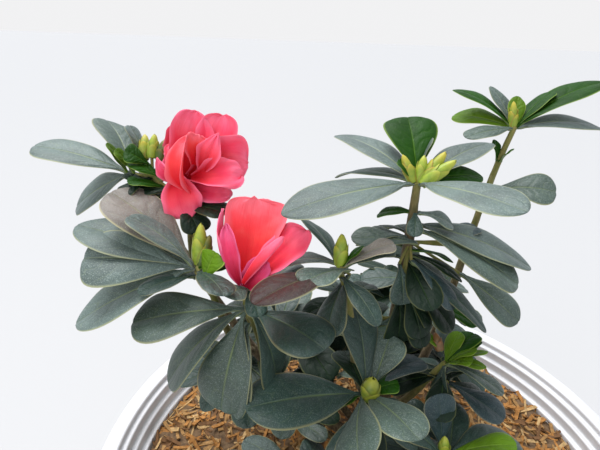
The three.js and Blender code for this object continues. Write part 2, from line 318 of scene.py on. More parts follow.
# Leaf tones: face, rib and margin colours, how much the silvery hairs show, and how much light they give back
# The first two tones are the hairy grey-green leaf with painted sky reflection, the first the more; shade is
# the
# and partly painted shade; ink is a dark green whose bluish cast is partly painted sky reflection; fresh,
# lime,
# bronze and brown are the leaves' own colours. The hair flecks are strongest on the tones with painted sky
# is partly the leaf's own edge and partly painted light on its edge hairs.
# reflection and nearly gone on those with painted shade, so they are partly painted glint, and the paler
# margin
# same leaf with painted shade, for leaves inside and low in the crown; deep is partly the leaves' own dark
# green
leafTones = {
    "silver": {"face": (0.106, 0.148, 0.134), "rib": (0.24, 0.29, 0.15), "edge": (0.31, 0.32, 0.17),
               "hairs": 0.42, "sheen": 0.10, "gloss": 0.36},
    "sage": {"face": (0.062, 0.098, 0.078), "rib": (0.17, 0.22, 0.09), "edge": (0.27, 0.27, 0.13),
             "hairs": 0.32, "sheen": 0.05, "gloss": 0.42},
    "deep": {"face": (0.021, 0.054, 0.042), "rib": (0.10, 0.15, 0.06), "edge": (0.21, 0.20, 0.09),
             "hairs": 0.18, "sheen": 0.02, "gloss": 0.50},
    "shade": {"face": (0.006, 0.020, 0.010), "rib": (0.04, 0.08, 0.02), "edge": (0.11, 0.12, 0.04),
              "hairs": 0.02, "sheen": 0.0, "gloss": 0.22},
    "ink": {"face": (0.014, 0.038, 0.044), "rib": (0.06, 0.10, 0.07), "edge": (0.16, 0.16, 0.10),
            "hairs": 0.14, "sheen": 0.02, "gloss": 0.50},
    "fresh": {"face": (0.012, 0.066, 0.001), "rib": (0.07, 0.17, 0.01), "edge": (0.20, 0.30, 0.05),
              "hairs": 0.01, "sheen": 0.0, "gloss": 0.12},
    "lime": {"face": (0.105, 0.215, 0.006), "rib": (0.21, 0.33, 0.04), "edge": (0.32, 0.40, 0.08),
             "hairs": 0.02, "sheen": 0.0, "gloss": 0.14},
    "bronze": {"face": (0.034, 0.013, 0.011), "rib": (0.09, 0.09, 0.04), "edge": (0.20, 0.20, 0.10),
               "hairs": 0.10, "sheen": 0.0, "gloss": 0.25},
    "brown": {"face": (0.215, 0.180, 0.152), "rib": (0.28, 0.28, 0.15), "edge": (0.46, 0.42, 0.24),
              "hairs": 0.36, "sheen": 0.08, "gloss": 0.35},
}
leafPaint = {
    "sheenTint": (0.85, 0.93, 1.0, 1),
    "darker": 0.68,  # share of the face colour that its patches keep
    "net": 0.07,  # how strong the net, the veins and the margin are
    "vein": 0.16,
    "margin": 0.85,
    "rib": (0.2, 0.95, 0.95, 0.35),  # from and to along the leaf, and how strong it is there
    "roughness": (0.3, 0.7, 0.38, 0.58),  # low and high grain, and the roughness there
    "relief": {"puff": 0.45, "grain": 0.35, "rib": -0.8},
    "bump": (0.55, 0.0006),  # strength, and depth in metres
}


def rgb(colour):
    return (*colour, 1)


def leafMaterial(name, look, veins, hairs):
    paint, relief = leafPaint, leafPaint["relief"]
    material, tree, shader = newMaterial(name, 0.5, look["gloss"], look["sheen"], 0.4, paint["sheenTint"])
    vein = placeGroup(tree, veins, Map=surfaceMap(tree))
    hair = placeGroup(tree, hairs, Place=objectPlace(tree))
    ribColour = rgb(look["rib"])
    darker = tuple(part * paint["darker"] for part in look["face"])
    colour = blendColour(tree, hair["Patch"], rgb(look["face"]), rgb(darker))
    # pale hair flecks: the hairs' own colour, shown more on the tones with painted sky reflection and hardly
    # on
    # those with painted shade, so partly painted glint
    fleck = maths(tree, "MULTIPLY", hair["Fleck"], look["hairs"])
    colour = blendColour(tree, fleck, colour, hairLook["colour"])
    colour = blendColour(tree, maths(tree, "MULTIPLY", vein["Net"], paint["net"]), colour, ribColour)
    colour = blendColour(tree, maths(tree, "MULTIPLY", vein["Vein"], paint["vein"]), colour, ribColour)
    ribShow = maths(tree, "MULTIPLY", vein["Rib"], smoothStep(tree, vein["Along"], *paint["rib"]))
    colour = blendColour(tree, ribShow, colour, ribColour)
    # paler margin, partly the leaf's own edge and partly painted light on its edge hairs
    margin = maths(tree, "MULTIPLY", vein["Edge"], paint["margin"])
    colour = blendColour(tree, margin, colour, rgb(look["edge"]))
    tint = attributeValue(tree, "tint")
    grey = joinVector(tree, tint, tint, tint)
    feed(tree, shader.inputs["Base Color"], vectorMaths(tree, "MULTIPLY", colour, grey))
    feed(tree, shader.inputs["Roughness"], smoothStep(tree, hair["Grain"], *paint["roughness"]))
    height = maths(tree, "MULTIPLY", hair["Grain"], relief["grain"])
    height = maths(tree, "MULTIPLY_ADD", vein["Puff"], relief["puff"], height)
    height = maths(tree, "MULTIPLY_ADD", vein["Rib"], relief["rib"], height)
    feed(tree, shader.inputs["Normal"], bump(tree, height, *paint["bump"]))
    return material


undersidePaint = {
    "face": (0.15, 0.20, 0.085, 1),
    "patch": (0.12, 0.165, 0.075, 1),
    "fleck": (0.34, 0.36, 0.22, 1),
    "vein": (0.26, 0.31, 0.13, 1),
    "rib": (0.32, 0.36, 0.15, 1),
    "fleckShow": 0.25,
    "veinShow": 0.5,
    "relief": {"vein": 0.7, "grain": 0.4},
    "bump": (0.5, 0.0005),
}


def undersideMaterial(name, veins, hairs):
    paint, relief = undersidePaint, undersidePaint["relief"]
    material, tree, shader = newMaterial(name, 0.55, 0.35, 0.1, 0.4)
    vein = placeGroup(tree, veins, Map=surfaceMap(tree))
    hair = placeGroup(tree, hairs, Place=objectPlace(tree))
    colour = blendColour(tree, hair["Patch"], paint["face"], paint["patch"])
    fleck = maths(tree, "MULTIPLY", hair["Fleck"], paint["fleckShow"])
    colour = blendColour(tree, fleck, colour, paint["fleck"])
    line = maths(tree, "MULTIPLY", vein["Vein"], paint["veinShow"])
    colour = blendColour(tree, line, colour, paint["vein"])
    colour = blendColour(tree, vein["Rib"], colour, paint["rib"])
    feed(tree, shader.inputs["Base Color"], colour)
    height = maths(tree, "MULTIPLY", hair["Grain"], relief["grain"])
    height = maths(tree, "MULTIPLY_ADD", vein["Vein"], relief["vein"], height)
    feed(tree, shader.inputs["Normal"], bump(tree, height, *paint["bump"]))
    return material


# Petal colours; the darkest red lies at a petal's foot, partly the petal's own colour and partly painted
# shade
# deep in the bloom where the petals meet
petalLooks = {
    "petal": {"face": (1.0, 0.056, 0.125), "warm": (1.0, 0.076, 0.115), "throat": (0.55, 0.002, 0.010),
              "rim": (1.0, 0.190, 0.310), "streak": (0.86, 0.016, 0.060)},
    "petalWarm": {"face": (1.0, 0.050, 0.062), "warm": (1.0, 0.080, 0.075), "throat": (0.74, 0.006, 0.018),
                  "rim": (1.0, 0.190, 0.250), "streak": (0.90, 0.022, 0.042)},
    "petalPink": {"face": (0.93, 0.060, 0.150), "warm": (1.0, 0.085, 0.170), "throat": (0.46, 0.003, 0.028),
                  "rim": (1.0, 0.230, 0.380), "streak": (0.82, 0.030, 0.095)},
}
petalPaint = {
    "sheenTint": (1.0, 0.6, 0.7, 1),
    "glowThrough": 0.12,
    "glowReach": (1.0, 0.3, 0.25),  # how far red, green and blue light go, in shares of lightDepth
    "clouds": 130.0,
    "cloud": (0.35, 0.65),
    "throat": (0.08, 0.74, 1.0, 0.0),  # from and to along the petal, and how strong it is there
    "rimSway": 0.12,
    "rimTip": (0.62, 1.08),
    "rimSide": (0.6, 1.0),
    "rimShow": 0.8,
    "streaks": (3.0, 46.0, 1.0),  # streaks along and across the petal
    "streak": (0.45, 0.75, 0.0, 0.30),
    "grain": 900.0,
    "grainRelief": 0.3,
    "bump": (0.35, 0.0005),
}


def petalMaterial(name, look):
    paint = petalPaint
    material, tree, shader = newMaterial(name, 0.55, 0.14, 0.08, 0.5, paint["sheenTint"],
                                         paint["glowThrough"])
    shader.inputs["Subsurface Radius"].default_value = paint["glowReach"]
    surface = surfaceMap(tree)
    along, across = alongAcross(tree, surface)
    cloud = smoothStep(tree, noise(tree, objectPlace(tree), paint["clouds"]), *paint["cloud"])
    colour = blendColour(tree, cloud, rgb(look["face"]), rgb(look["warm"]))
    # darker red towards the petal's foot: partly its own colour, partly painted shade where the petals meet
    colour = blendColour(tree, smoothStep(tree, along, *paint["throat"]), colour, rgb(look["throat"]))
    # paler pink margins and tip: partly the petal's own colour and partly painted highlight on the ruffled
    # edges
    reach = maths(tree, "MULTIPLY_ADD", cloud, paint["rimSway"], along)
    tipRim = smoothStep(tree, reach, *paint["rimTip"])
    rim = maths(tree, "MAXIMUM", tipRim, smoothStep(tree, across, *paint["rimSide"]))
    colour = blendColour(tree, maths(tree, "MULTIPLY", rim, paint["rimShow"]), colour, rgb(look["rim"]))
    streaks = noise(tree, vectorMaths(tree, "MULTIPLY", surface, paint["streaks"]), 1.0, 3.0, 0.6)
    colour = blendColour(tree, smoothStep(tree, streaks, *paint["streak"]), colour, rgb(look["streak"]))
    # a petal with a tint under 1 is darker, painted shade for back petals and folds, and loses its green
    # first
    tone = attributeValue(tree, "tint")
    shaded = joinVector(tree, tone, maths(tree, "POWER", tone, 2.0), tone)
    feed(tree, shader.inputs["Base Color"], vectorMaths(tree, "MULTIPLY", colour, shaded))
    grain = noise(tree, objectPlace(tree), paint["grain"])
    height = maths(tree, "MULTIPLY_ADD", streaks, 1.0, maths(tree, "MULTIPLY", grain, paint["grainRelief"]))
    feed(tree, shader.inputs["Normal"], bump(tree, height, *paint["bump"]))
    return material


# Bud scales: face, foot, tip and edge colours
budLooks = {
    "gold": {"face": (0.33, 0.37, 0.035), "foot": (0.22, 0.32, 0.03), "tip": (0.58, 0.47, 0.05),
             "edge": (0.34, 0.16, 0.03)},
    "moss": {"face": (0.22, 0.25, 0.02), "foot": (0.12, 0.18, 0.02), "tip": (0.40, 0.40, 0.04),
             "edge": (0.16, 0.13, 0.02)},
    "lime": {"face": (0.33, 0.43, 0.035), "foot": (0.22, 0.33, 0.03), "tip": (0.50, 0.50, 0.06),
             "edge": (0.24, 0.22, 0.03)},
    "olive": {"face": (0.10, 0.15, 0.02), "foot": (0.06, 0.10, 0.015), "tip": (0.20, 0.17, 0.03),
              "edge": (0.09, 0.06, 0.02)},
    "brown": {"face": (0.24, 0.13, 0.05), "foot": (0.16, 0.09, 0.04), "tip": (0.30, 0.12, 0.04),
              "edge": (0.12, 0.06, 0.03)},
}
budPaint = {
    "patches": 500.0,
    "patch": (0.3, 0.7),
    "tip": (0.55, 1.0, 0.0, 0.85),
    "edge": (0.72, 1.0, 0.0, 0.7),
    "lines": (2.0, 22.0, 1.0),  # fine lines along and across a scale
    "bump": (0.4, 0.0003),
}


def budMaterial(name, look):
    paint = budPaint
    material, tree, shader = newMaterial(name, 0.42, 0.45, 0.05)
    surface = surfaceMap(tree)
    along, across = alongAcross(tree, surface)
    patch = smoothStep(tree, noise(tree, objectPlace(tree), paint["patches"], 3.0, 0.6), *paint["patch"])
    colour = blendColour(tree, patch, rgb(look["face"]), rgb(look["foot"]))
    colour = blendColour(tree, smoothStep(tree, along, *paint["tip"]), colour, rgb(look["tip"]))
    colour = blendColour(tree, smoothStep(tree, across, *paint["edge"]), colour, rgb(look["edge"]))
    feed(tree, shader.inputs["Base Color"], colour)
    lines = noise(tree, vectorMaths(tree, "MULTIPLY", surface, paint["lines"]), 1.0)
    feed(tree, shader.inputs["Normal"], bump(tree, lines, *paint["bump"]))
    return material


# Soil and bark strips: two colours in patches, with the same patches raised
plainPaint = {"specular": 0.4, "patch": (0.3, 0.7), "bump": 0.6}


def plainMaterial(name, first, second, scale, roughness, relief):
    material, tree, shader = newMaterial(name, roughness, plainPaint["specular"])
    patch = noise(tree, objectPlace(tree), scale, 4.0, 0.6)
    colour = blendColour(tree, smoothStep(tree, patch, *plainPaint["patch"]), rgb(first), rgb(second))
    feed(tree, shader.inputs["Base Color"], colour)
    feed(tree, shader.inputs["Normal"], bump(tree, patch, plainPaint["bump"], relief))
    return material


# White plastic, with splashes of dirt in a band of heights, in metres
plasticPaint = {
    "clean": (0.66, 0.655, 0.665, 1),
    "worn": (0.60, 0.595, 0.60, 1),
    "dirt": (0.26, 0.20, 0.14, 1),
    "clouds": 22.0,
    "wear": (0.3, 0.75),
    "bandTop": (0.236, 0.216),
    "bandFoot": (0.206, 0.216),
    "splash": (0.5, 0.7),
    "splashShow": 0.35,
    "specks": 420.0,
    "speck": (0.70, 0.78, 0.0, 0.5),
    "roughness": (0.3, 0.7, 0.30, 0.46),
    "rings": 160.0,  # fine marks of the mould
    "ringWander": 0.6,
    "ringRelief": 0.25,
    "bump": (0.12, 0.0006),
}


def plasticMaterial():
    paint = plasticPaint
    material, tree, shader = newMaterial("whitePlastic", 0.36, 0.5)
    place = objectPlace(tree)
    height = splitVector(tree, place)[2]
    cloud = noise(tree, place, paint["clouds"], 5.0, 0.6)
    colour = blendColour(tree, smoothStep(tree, cloud, *paint["wear"]), paint["clean"], paint["worn"])
    bandTop = smoothStep(tree, height, *paint["bandTop"])
    band = maths(tree, "MULTIPLY", bandTop, smoothStep(tree, height, *paint["bandFoot"]))
    splash = maths(tree, "MULTIPLY", band, smoothStep(tree, cloud, *paint["splash"]))
    speck = smoothStep(tree, noise(tree, place, paint["specks"], 3.0, 0.7), *paint["speck"])
    dirt = maths(tree, "MAXIMUM", speck, maths(tree, "MULTIPLY", splash, paint["splashShow"]))
    feed(tree, shader.inputs["Base Color"], blendColour(tree, dirt, colour, paint["dirt"]))
    feed(tree, shader.inputs["Roughness"], smoothStep(tree, cloud, *paint["roughness"]))
    rings = addNode(tree, "ShaderNodeTexWave", {"bands_direction": "Z"}, Vector=place, Scale=paint["rings"],
                    Distortion=paint["ringWander"])
    relief = maths(tree, "MULTIPLY_ADD", rings.outputs[1], paint["ringRelief"], cloud)
    feed(tree, shader.inputs["Normal"], bump(tree, relief, *paint["bump"]))
    return material


barkPaint = {
    "old": ((0.060, 0.040, 0.020, 1), (0.155, 0.115, 0.060, 1)),  # in the cracks, and on the flakes
    "young": ((0.150, 0.170, 0.038, 1), (0.235, 0.195, 0.060, 1)),
    "stretch": (1.0, 1.0, 0.35),
    "flakes": 620.0,
    "oldFlake": (0.35, 0.65),
    "youngFlake": (0.3, 0.7),
    "bump": (0.7, 0.0008),
}


def barkMaterial():
    paint = barkPaint
    material, tree, shader = newMaterial("bark", 0.7, 0.3, 0.1)
    stretched = vectorMaths(tree, "MULTIPLY", objectPlace(tree), paint["stretch"])
    flakes = noise(tree, stretched, paint["flakes"], 4.0, 0.65)
    old = blendColour(tree, smoothStep(tree, flakes, *paint["oldFlake"]), *paint["old"])
    young = blendColour(tree, smoothStep(tree, flakes, *paint["youngFlake"]), *paint["young"])
    feed(tree, shader.inputs["Base Color"], blendColour(tree, attributeValue(tree, "age"), young, old))
    feed(tree, shader.inputs["Normal"], bump(tree, flakes, *paint["bump"]))
    return material


# Closed thin blades, gathered in a bundle and made into one mesh, all in mm
def newBundle():
    bundle = {label: [] for label in ("points", "quads", "tris", "quadSlots", "triSlots", "maps", "tints")}
    return {**bundle, "count": 0}


def bladeIndex(rows, cols):
    across = cols + 1
    tip = rows * across
    upper = np.vstack([np.arange(tip).reshape(rows, across), np.full((1, across), tip)])
    lower = upper.copy()
    lower[1:rows, 1:cols] = tip + 1 + np.arange((rows - 1) * (cols - 1)).reshape(rows - 1, cols - 1)
    return upper, lower


def addSide(bundle, index, flipped, slot):
    corners = np.stack([index[:-1, :-1], index[:-1, 1:], index[1:, 1:], index[1:, :-1]], axis=-1)
    corners = corners.reshape(-1, 4)
    pinched = corners[:, 2] == corners[:, 3]
    quads, tris = corners[~pinched], corners[pinched][:, :3]
    if flipped:
        quads, tris = quads[:, ::-1], tris[:, ::-1]
    bundle["quads"].append(quads + bundle["count"])
    bundle["tris"].append(tris + bundle["count"])
    bundle["quadSlots"] += [slot] * len(quads)
    bundle["triSlots"] += [slot] * len(tris)


# middle is the blade's middle surface, rows x cols; above and below say how far each face lies from it
def addBlade(bundle, middle, above, below, stations, spread, slots, tint=1.0):
    rows, cols = middle.shape[0] - 1, middle.shape[1] - 1
    downRows, acrossCols = np.gradient(middle, axis=0), np.gradient(middle, axis=1)
    normals = np.cross(acrossCols, downRows)
    normals /= np.maximum(np.linalg.norm(normals, axis=2, keepdims=True), 1e-9)
    upper, lower = bladeIndex(rows, cols)
    inside = np.zeros((rows + 1, cols + 1, 1))
    inside[1:rows, 1:cols] = 1
    top = middle + normals * above[..., None] * inside
    bottom = middle - normals * below[..., None] * inside
    maps = np.stack(np.meshgrid(stations, (spread + 1) / 2, indexing="ij"), axis=-1)
    flatTop = top[:-1].reshape(-1, 3)
    flatMaps = maps[:-1].reshape(-1, 2)
    tipMap = np.array([[1.0, 0.5]])
    points = np.vstack([flatTop, top[-1:, cols // 2], bottom[1:rows, 1:cols].reshape(-1, 3)])
    bundle["maps"].append(np.vstack([flatMaps, tipMap, maps[1:rows, 1:cols].reshape(-1, 2)]))
    addSide(bundle, upper, False, slots[0])
    addSide(bundle, lower, True, slots[1])
    bundle["points"].append(points)
    bundle["tints"].append(np.full(len(points), tint))
    bundle["count"] += len(points)


def makeMesh(name, bundle, sharp=50):
    slots = bundle["quadSlots"] + bundle["triSlots"]
    used = sorted(set(slots))
    faces = np.concatenate(bundle["quads"]).tolist() + np.concatenate(bundle["tris"]).tolist()
    mesh = bpy.data.meshes.new(name)
    mesh.from_pydata((np.concatenate(bundle["points"]) * mm).tolist(), [], faces)
    for slot in used:
        mesh.materials.append(materials[slot])
    order = {slot: number for number, slot in enumerate(used)}
    mesh.polygons.foreach_set("material_index", [order[slot] for slot in slots])
    corners = np.empty(len(mesh.loops), np.int32)
    mesh.loops.foreach_get("vertex_index", corners)
    layer = mesh.uv_layers.new(name="along")
    layer.data.foreach_set("uv", np.concatenate(bundle["maps"])[corners].astype(np.float32).ravel())
    # tint: a random tone on leaves and buds, and painted shade on petals behind others or in folds
    tint = mesh.attributes.new("tint", "FLOAT", "POINT")
    tint.data.foreach_set("value", np.concatenate(bundle["tints"]).astype(np.float32))
    mesh.shade_smooth()
    mesh.set_sharp_from_angle(angle=math.radians(sharp))
    return placed(name, mesh)


def direction(turn, lift):
    around, up = math.radians(turn), math.radians(lift)
    return np.array([math.cos(around) * math.cos(up), math.sin(around) * math.cos(up), math.sin(up)])


def unit(vector):
    return vector / np.linalg.norm(vector)


# A leaf's own axes: along, its upper normal, and the side across both
def leafAxes(turn, lift, roll):
    along = direction(turn, lift)
    level = unit(np.array([0, 0, 1.0]) - along * along[2]) if abs(along[2]) < 0.995 else -direction(turn, 0)
    side = np.cross(along, level)
    tilt = math.radians(roll)
    normal = level * math.cos(tilt) + side * math.sin(tilt)
    return along, normal, np.cross(along, normal)


# How every leaf is shaped; lengths in mm, the rest in shares of the leaf
leafForm = {
    "petiole": 0.09,
    "petioleHalf": 0.85,
    "petioleTaper": 3,  # a higher number narrows it sooner
    "slim": (0.38, 0.82, 0.60),  # share of width, and how the blade widens and closes on a slim leaf
    "broad": (0.62, 1.30, 0.42),  # the same on a broad leaf
    "outlines": (0.92, 1.08),  # how far that differs from leaf to leaf
    "fold": 0.30,
    "recurve": 0.27,
    "bow": 34,  # degrees between base and tip
    "bows": (0.6, 1.3),
    "twist": 14,  # degrees at most, from foot to tip
    "twistFrom": 0.4,
    "wave": 0.45,
    "wavePace": 8.5,
    "otherMargin": -0.8,  # its waves against the first margin's
    "puff": 0.09,
    "puffRound": 0.8,
    "veins": 5.0,
    "veinSway": (0.25, 7),  # in veins, and its pace along the leaf
    "veinLean": 1.4,
    "veinCurve": 1.3,
    "rib": 0.24,
    "ribWidth": 0.8,
    "thickness": 0.42,
    "petioleThickness": 1.5,
    "thinning": 8,  # a higher number thins the petiole sooner
    "crowding": 1.2,  # above 1, the columns stand closer at the rib
    "tints": (0.85, 1.15),
}
anyPhase = 6.28  # radians, the span that phases are drawn from


def leafStations(rows, cols):
    stalk = np.linspace(0, leafForm["petiole"], 3)[:-1]
    blade = (1 - np.cos(np.linspace(0, math.pi, rows - 1))) / 2
    stations = np.concatenate([stalk, leafForm["petiole"] + blade * (1 - leafForm["petiole"])])
    even = np.linspace(-1, 1, cols + 1)
    return stations, np.sign(even) * np.abs(even) ** leafForm["crowding"]


def addLeaf(bundle, base, leaf, tone, dice, rows=12, cols=6):
    turn, lift, length, width, roll = leaf
    form = leafForm
    stations, spread = leafStations(rows, cols)
    blade = np.clip((stations - form["petiole"]) / (1 - form["petiole"]), 0, 1)
    slim, broad = form["slim"], form["broad"]
    opens, closes = (np.interp(width / length, (slim[0], broad[0]), (slim[k], broad[k]))
                     * dice.uniform(*form["outlines"]) for k in (1, 2))
    peak = opens / (opens + closes)
    shape = blade ** opens * (1 - blade) ** closes / (peak ** opens * (1 - peak) ** closes)
    half = width / 2 * shape + form["petioleHalf"] * (1 - blade) ** form["petioleTaper"]
    half[-1] = 0
    along, normal, side = leafAxes(turn, lift, roll)
    bend = np.radians(form["bow"] * dice.uniform(*form["bows"])) * (0.5 - stations)
    tangents = along * np.cos(bend)[:, None] + normal * np.sin(bend)[:, None]
    rises = normal * np.cos(bend)[:, None] - along * np.sin(bend)[:, None]
    steps = np.diff(stations)[:, None] * length * (tangents[1:] + tangents[:-1]) / 2
    centre = np.asarray(base, float) + np.vstack([np.zeros(3), np.cumsum(steps, axis=0)])
    twist = np.radians(dice.uniform(-form["twist"], form["twist"])) * (stations - form["twistFrom"])
    sides = side * np.cos(twist)[:, None] + rises * np.sin(twist)[:, None]
    rises = rises * np.cos(twist)[:, None] - side * np.sin(twist)[:, None]
    away = np.abs(spread)[None, :]
    out = half[:, None] * spread[None, :]
    phase = dice.uniform(0, anyPhase)
    margins = np.where(spread > 0, 1, form["otherMargin"])
    sway = np.sin(blade * form["wavePace"] + phase)[:, None] * margins[None, :]
    lifted = half[:, None] * (form["fold"] * away - form["recurve"] * away ** 2)
    lifted = lifted + form["wave"] * sway * away ** 2 * (half / max(half.max(), 1e-6))[:, None]
    middle = centre[:, None] + sides[:, None] * out[..., None] + rises[:, None] * lifted[..., None]
    extra = form["petioleThickness"] - form["thickness"]
    thick = form["thickness"] + extra * (1 - blade) ** form["thinning"]
    ribbed = np.exp(-(out / form["ribWidth"]) ** 2) * (1 - blade[:, None])
    # counted in veins; those of one half stand between those of the other
    swing, pace = form["veinSway"]
    vein = blade[:, None] * form["veins"] + swing * np.sin(blade[:, None] * pace + phase)
    vein = vein + 0.5 * (spread[None, :] > 0) - away ** form["veinCurve"] * form["veinLean"]
    panels = np.abs(np.sin(math.pi * vein)) ** form["puffRound"]
    panels = panels * (away * (1 - away)) ** 0.5 * 2 * (blade * (1 - blade))[:, None] ** 0.5 * 2
    above = thick[:, None] / 2 + form["puff"] * panels - form["rib"] * ribbed * (blade > 0)[:, None]
    below = thick[:, None] / 2 + form["rib"] * ribbed
    addBlade(bundle, middle, above, below, blade, spread, (tone, "under"), dice.uniform(*form["tints"]))


# A bud: pointed scales wrapped round an egg, the outer ones short and the inner ones closed at the tip
budForm = {
    "scales": 8,
    "closed": 3,  # inner scales that close the tip
    "wrap": (78, 122),  # degrees that an outer and an inner scale reach round to each side
    "point": (2.4, 12.0),  # a higher number keeps the scale wide nearly to its tip
    "rows": 10,
    "cols": 8,
    "thickness": 0.22,
    "layer": 0.08,
    "tuck": 4,  # a higher number keeps the closing scales apart nearly to their tips
    "gape": 0.3,
    "gapeFrom": 3,  # a higher number keeps the gape to the tips
    "sides": 0.7,  # a higher number narrows a scale sooner
    "start": 0.14,  # how far up the bud the innermost scale starts
    "reach": (0.52, 0.3, 0.86),  # of the outermost scale, what the next ones add, and of the closing ones
    "egg": (0.75, 0.5, 1.5, 0.87),  # how it closes, its foot, its swelling, and what all is divided by
    "crowding": 1.3,  # above 1, the rows stand closer at the tip
    "tints": (0.9, 1.1),
}


def addBud(bundle, base, turn, lift, length, radius, tone, dice):
    axis, normal, side = leafAxes(turn, lift, dice.uniform(0, 90))
    form = budForm
    share = 1 - (1 - np.linspace(0, 1, form["rows"] + 1)) ** form["crowding"]
    spread = np.linspace(-1, 1, form["cols"] + 1)
    outermost, added, closing = form["reach"]
    closes, foot, swelling, divisor = form["egg"]
    for k in range(form["scales"]):
        age = k / (form["scales"] - 1)
        inner = int(k >= form["scales"] - form["closed"])
        level = form["start"] * age + share * (closing if inner else outermost + added * age)
        level = np.minimum(level, 1)
        egg = (1 - level) ** closes * (foot + swelling * level) / divisor
        girth = radius * egg + form["layer"] * (form["scales"] - k) * (1 - inner * share ** form["tuck"])
        girth = girth + form["gape"] * (1 - inner) * share ** form["gapeFrom"]
        opened = np.radians(form["wrap"][inner]) * (1 - share ** form["point"][inner]) ** form["sides"]
        angle = math.radians(k * goldenTurn) + opened[:, None] * spread[None, :]
        ring = np.cos(angle)[..., None] * normal + np.sin(angle)[..., None] * side
        centre = np.asarray(base, float) + axis * (level * length)[:, None, None]
        middle = centre + ring * girth[:, None, None]
        half = np.full(angle.shape, form["thickness"] / 2)
        addBlade(bundle, middle, half, half, share, spread, (tone, tone), dice.uniform(*form["tints"]))


# A petal along its spine, in mm right, up and towards the eye from the bloom's centre
petalForm = {
    "rows": 30,
    "cols": 20,
    "thickness": 0.32,
    "foot": 0.24,  # share of the width at the base
    "broadest": 0.58,
    "square": 2.6,  # a higher number makes a flatter tip
    "blunt": 0.5,
    "ruffle": 0.75,
    "ragged": 0.45,
    "crease": 0.5,
    "folds": 0.35,  # mm that the soft lengthwise folds stand up at the tip
    "wrap": (60, 25),  # degrees that the margins turn in, at the foot and at the tip
    "leastWrap": 0.02,  # radians; a flat petal is drawn with this much
    "opening": 1.2,
    "sway": [(0.05, 9), (0.03, 17)],  # how far the right margin sways, and at what pace
    "swayLeft": [(0.05, 8), (0.03, 19)],
    "rimSide": (2.5, 3),  # a higher number narrows the wavy margin, or starts it sooner
    "rimTip": (0.55, 0.45, 1.5),  # where the wavy tip starts, how long it is, and how gently it rises
    "ripples": [(1.0, 11, 3), (0.7, 5, 6.5), (0.35, 19, 13)],  # height, and paces along and across
    "fullWidth": 14,  # mm; a narrower petal has lower ripples
    "creaseHalf": 0.12,
    "foldPace": 8,
    "nicks": [(1.0, 9), (0.6, 21)],
    "nickFade": 4,  # a higher number keeps the nicks to the tip
    "crowding": (1.5, 1.25),  # above 1, rows stand closer at the tip, and columns at the margins
}


# Waves of given heights and paces, laid over each other
def waveSum(place, waves, phases):
    return sum(height * np.sin(place * pace + phase) for (height, pace), phase in zip(waves, phases))


def addPetal(bundle, centre, axes, petal, dice):
    form = {**petalForm, **petal}
    base, middle, tip = (centre + np.array(point, float) @ axes for point in form["spine"])
    control = 2 * middle - (base + tip) / 2
    share = 1 - (1 - np.linspace(0, 1, form["rows"] + 1)) ** form["crowding"][0]
    spread = np.linspace(-1, 1, form["cols"] + 1)
    spread = np.sign(spread) * (1 - (1 - np.abs(spread)) ** form["crowding"][1])
    column, away = share[:, None], np.abs(spread)[None, :]
    curve = (1 - column) ** 2 * base + 2 * (1 - column) * column * control + column ** 2 * tip
    tangents = (1 - column) * (control - base) + column * (tip - control)
    tangents /= np.linalg.norm(tangents, axis=1, keepdims=True)
    sides = np.cross(tangents, unit(np.array(form["face"], float) @ axes))
    sides /= np.linalg.norm(sides, axis=1, keepdims=True)
    normals = np.cross(sides, tangents)
    phase = dice.uniform(0, math.tau, 6)
    rise = np.clip(share / form["broadest"], 0, 1)
    opening = form["foot"] + (1 - form["foot"]) * np.sin(rise * math.pi / 2) ** form["opening"]
    past = np.clip(share - form["broadest"], 0, 1) / (1 - form["broadest"])
    half = form["width"] / 2 * opening * np.clip(1 - past ** form["square"], 0, 1) ** form["blunt"]
    sway = waveSum(column, form["sway"], phase[:2])
    left = waveSum(column, form["swayLeft"], phase[2:4])
    reach = half[:, None] * (1 + np.where(spread[None, :] > 0, sway, left) * away)
    foot, end = (math.radians(angle) for angle in form["wrap"])
    bend = foot + (end - foot) * column
    bend = np.where(np.abs(bend) < form["leastWrap"], form["leastWrap"], bend)
    out = reach * np.sin(bend * spread) / bend
    lifted = reach * (1 - np.cos(bend * spread)) / bend
    narrow, soon = form["rimSide"]
    tipStart, tipLength, gently = form["rimTip"]
    sideRim = away ** narrow * np.clip(column * soon, 0, 1)
    rim = np.maximum(sideRim, np.clip((column - tipStart) / tipLength, 0, 1) ** gently)
    ripples = sum(height * np.sin(column * down + spread[None, :] * across + start)
                  for (height, down, across), start in zip(form["ripples"], phase[[4, 5, 0]]))
    lifted = lifted + form["ruffle"] * rim * ripples * min(1, form["width"] / form["fullWidth"])
    crease = np.exp(-(spread[None, :] / form["creaseHalf"]) ** 2)
    lifted = lifted - form["crease"] * crease * np.sin(column * math.pi)
    lifted = lifted + form["folds"] * column * np.sin(spread[None, :] * form["foldPace"] + phase[0])
    nick = waveSum(spread, form["nicks"], phase[[2, 1]])
    rising, inside = (share ** form["nickFade"])[:, None], 1 - away ** form["nickFade"]
    slide = form["ragged"] * rising * nick[None, :] * inside
    points = curve[:, None] + sides[:, None] * out[..., None] + normals[:, None] * lifted[..., None]
    points = points + tangents[:, None] * slide[..., None]
    thick = np.full(out.shape, form["thickness"] / 2)
    slot = form.get("slot", "petal")
    # a tint under 1 paints shade on the petal
    addBlade(bundle, points, thick, thick, share, spread, (slot, slot), form.get("tint", 1.0))


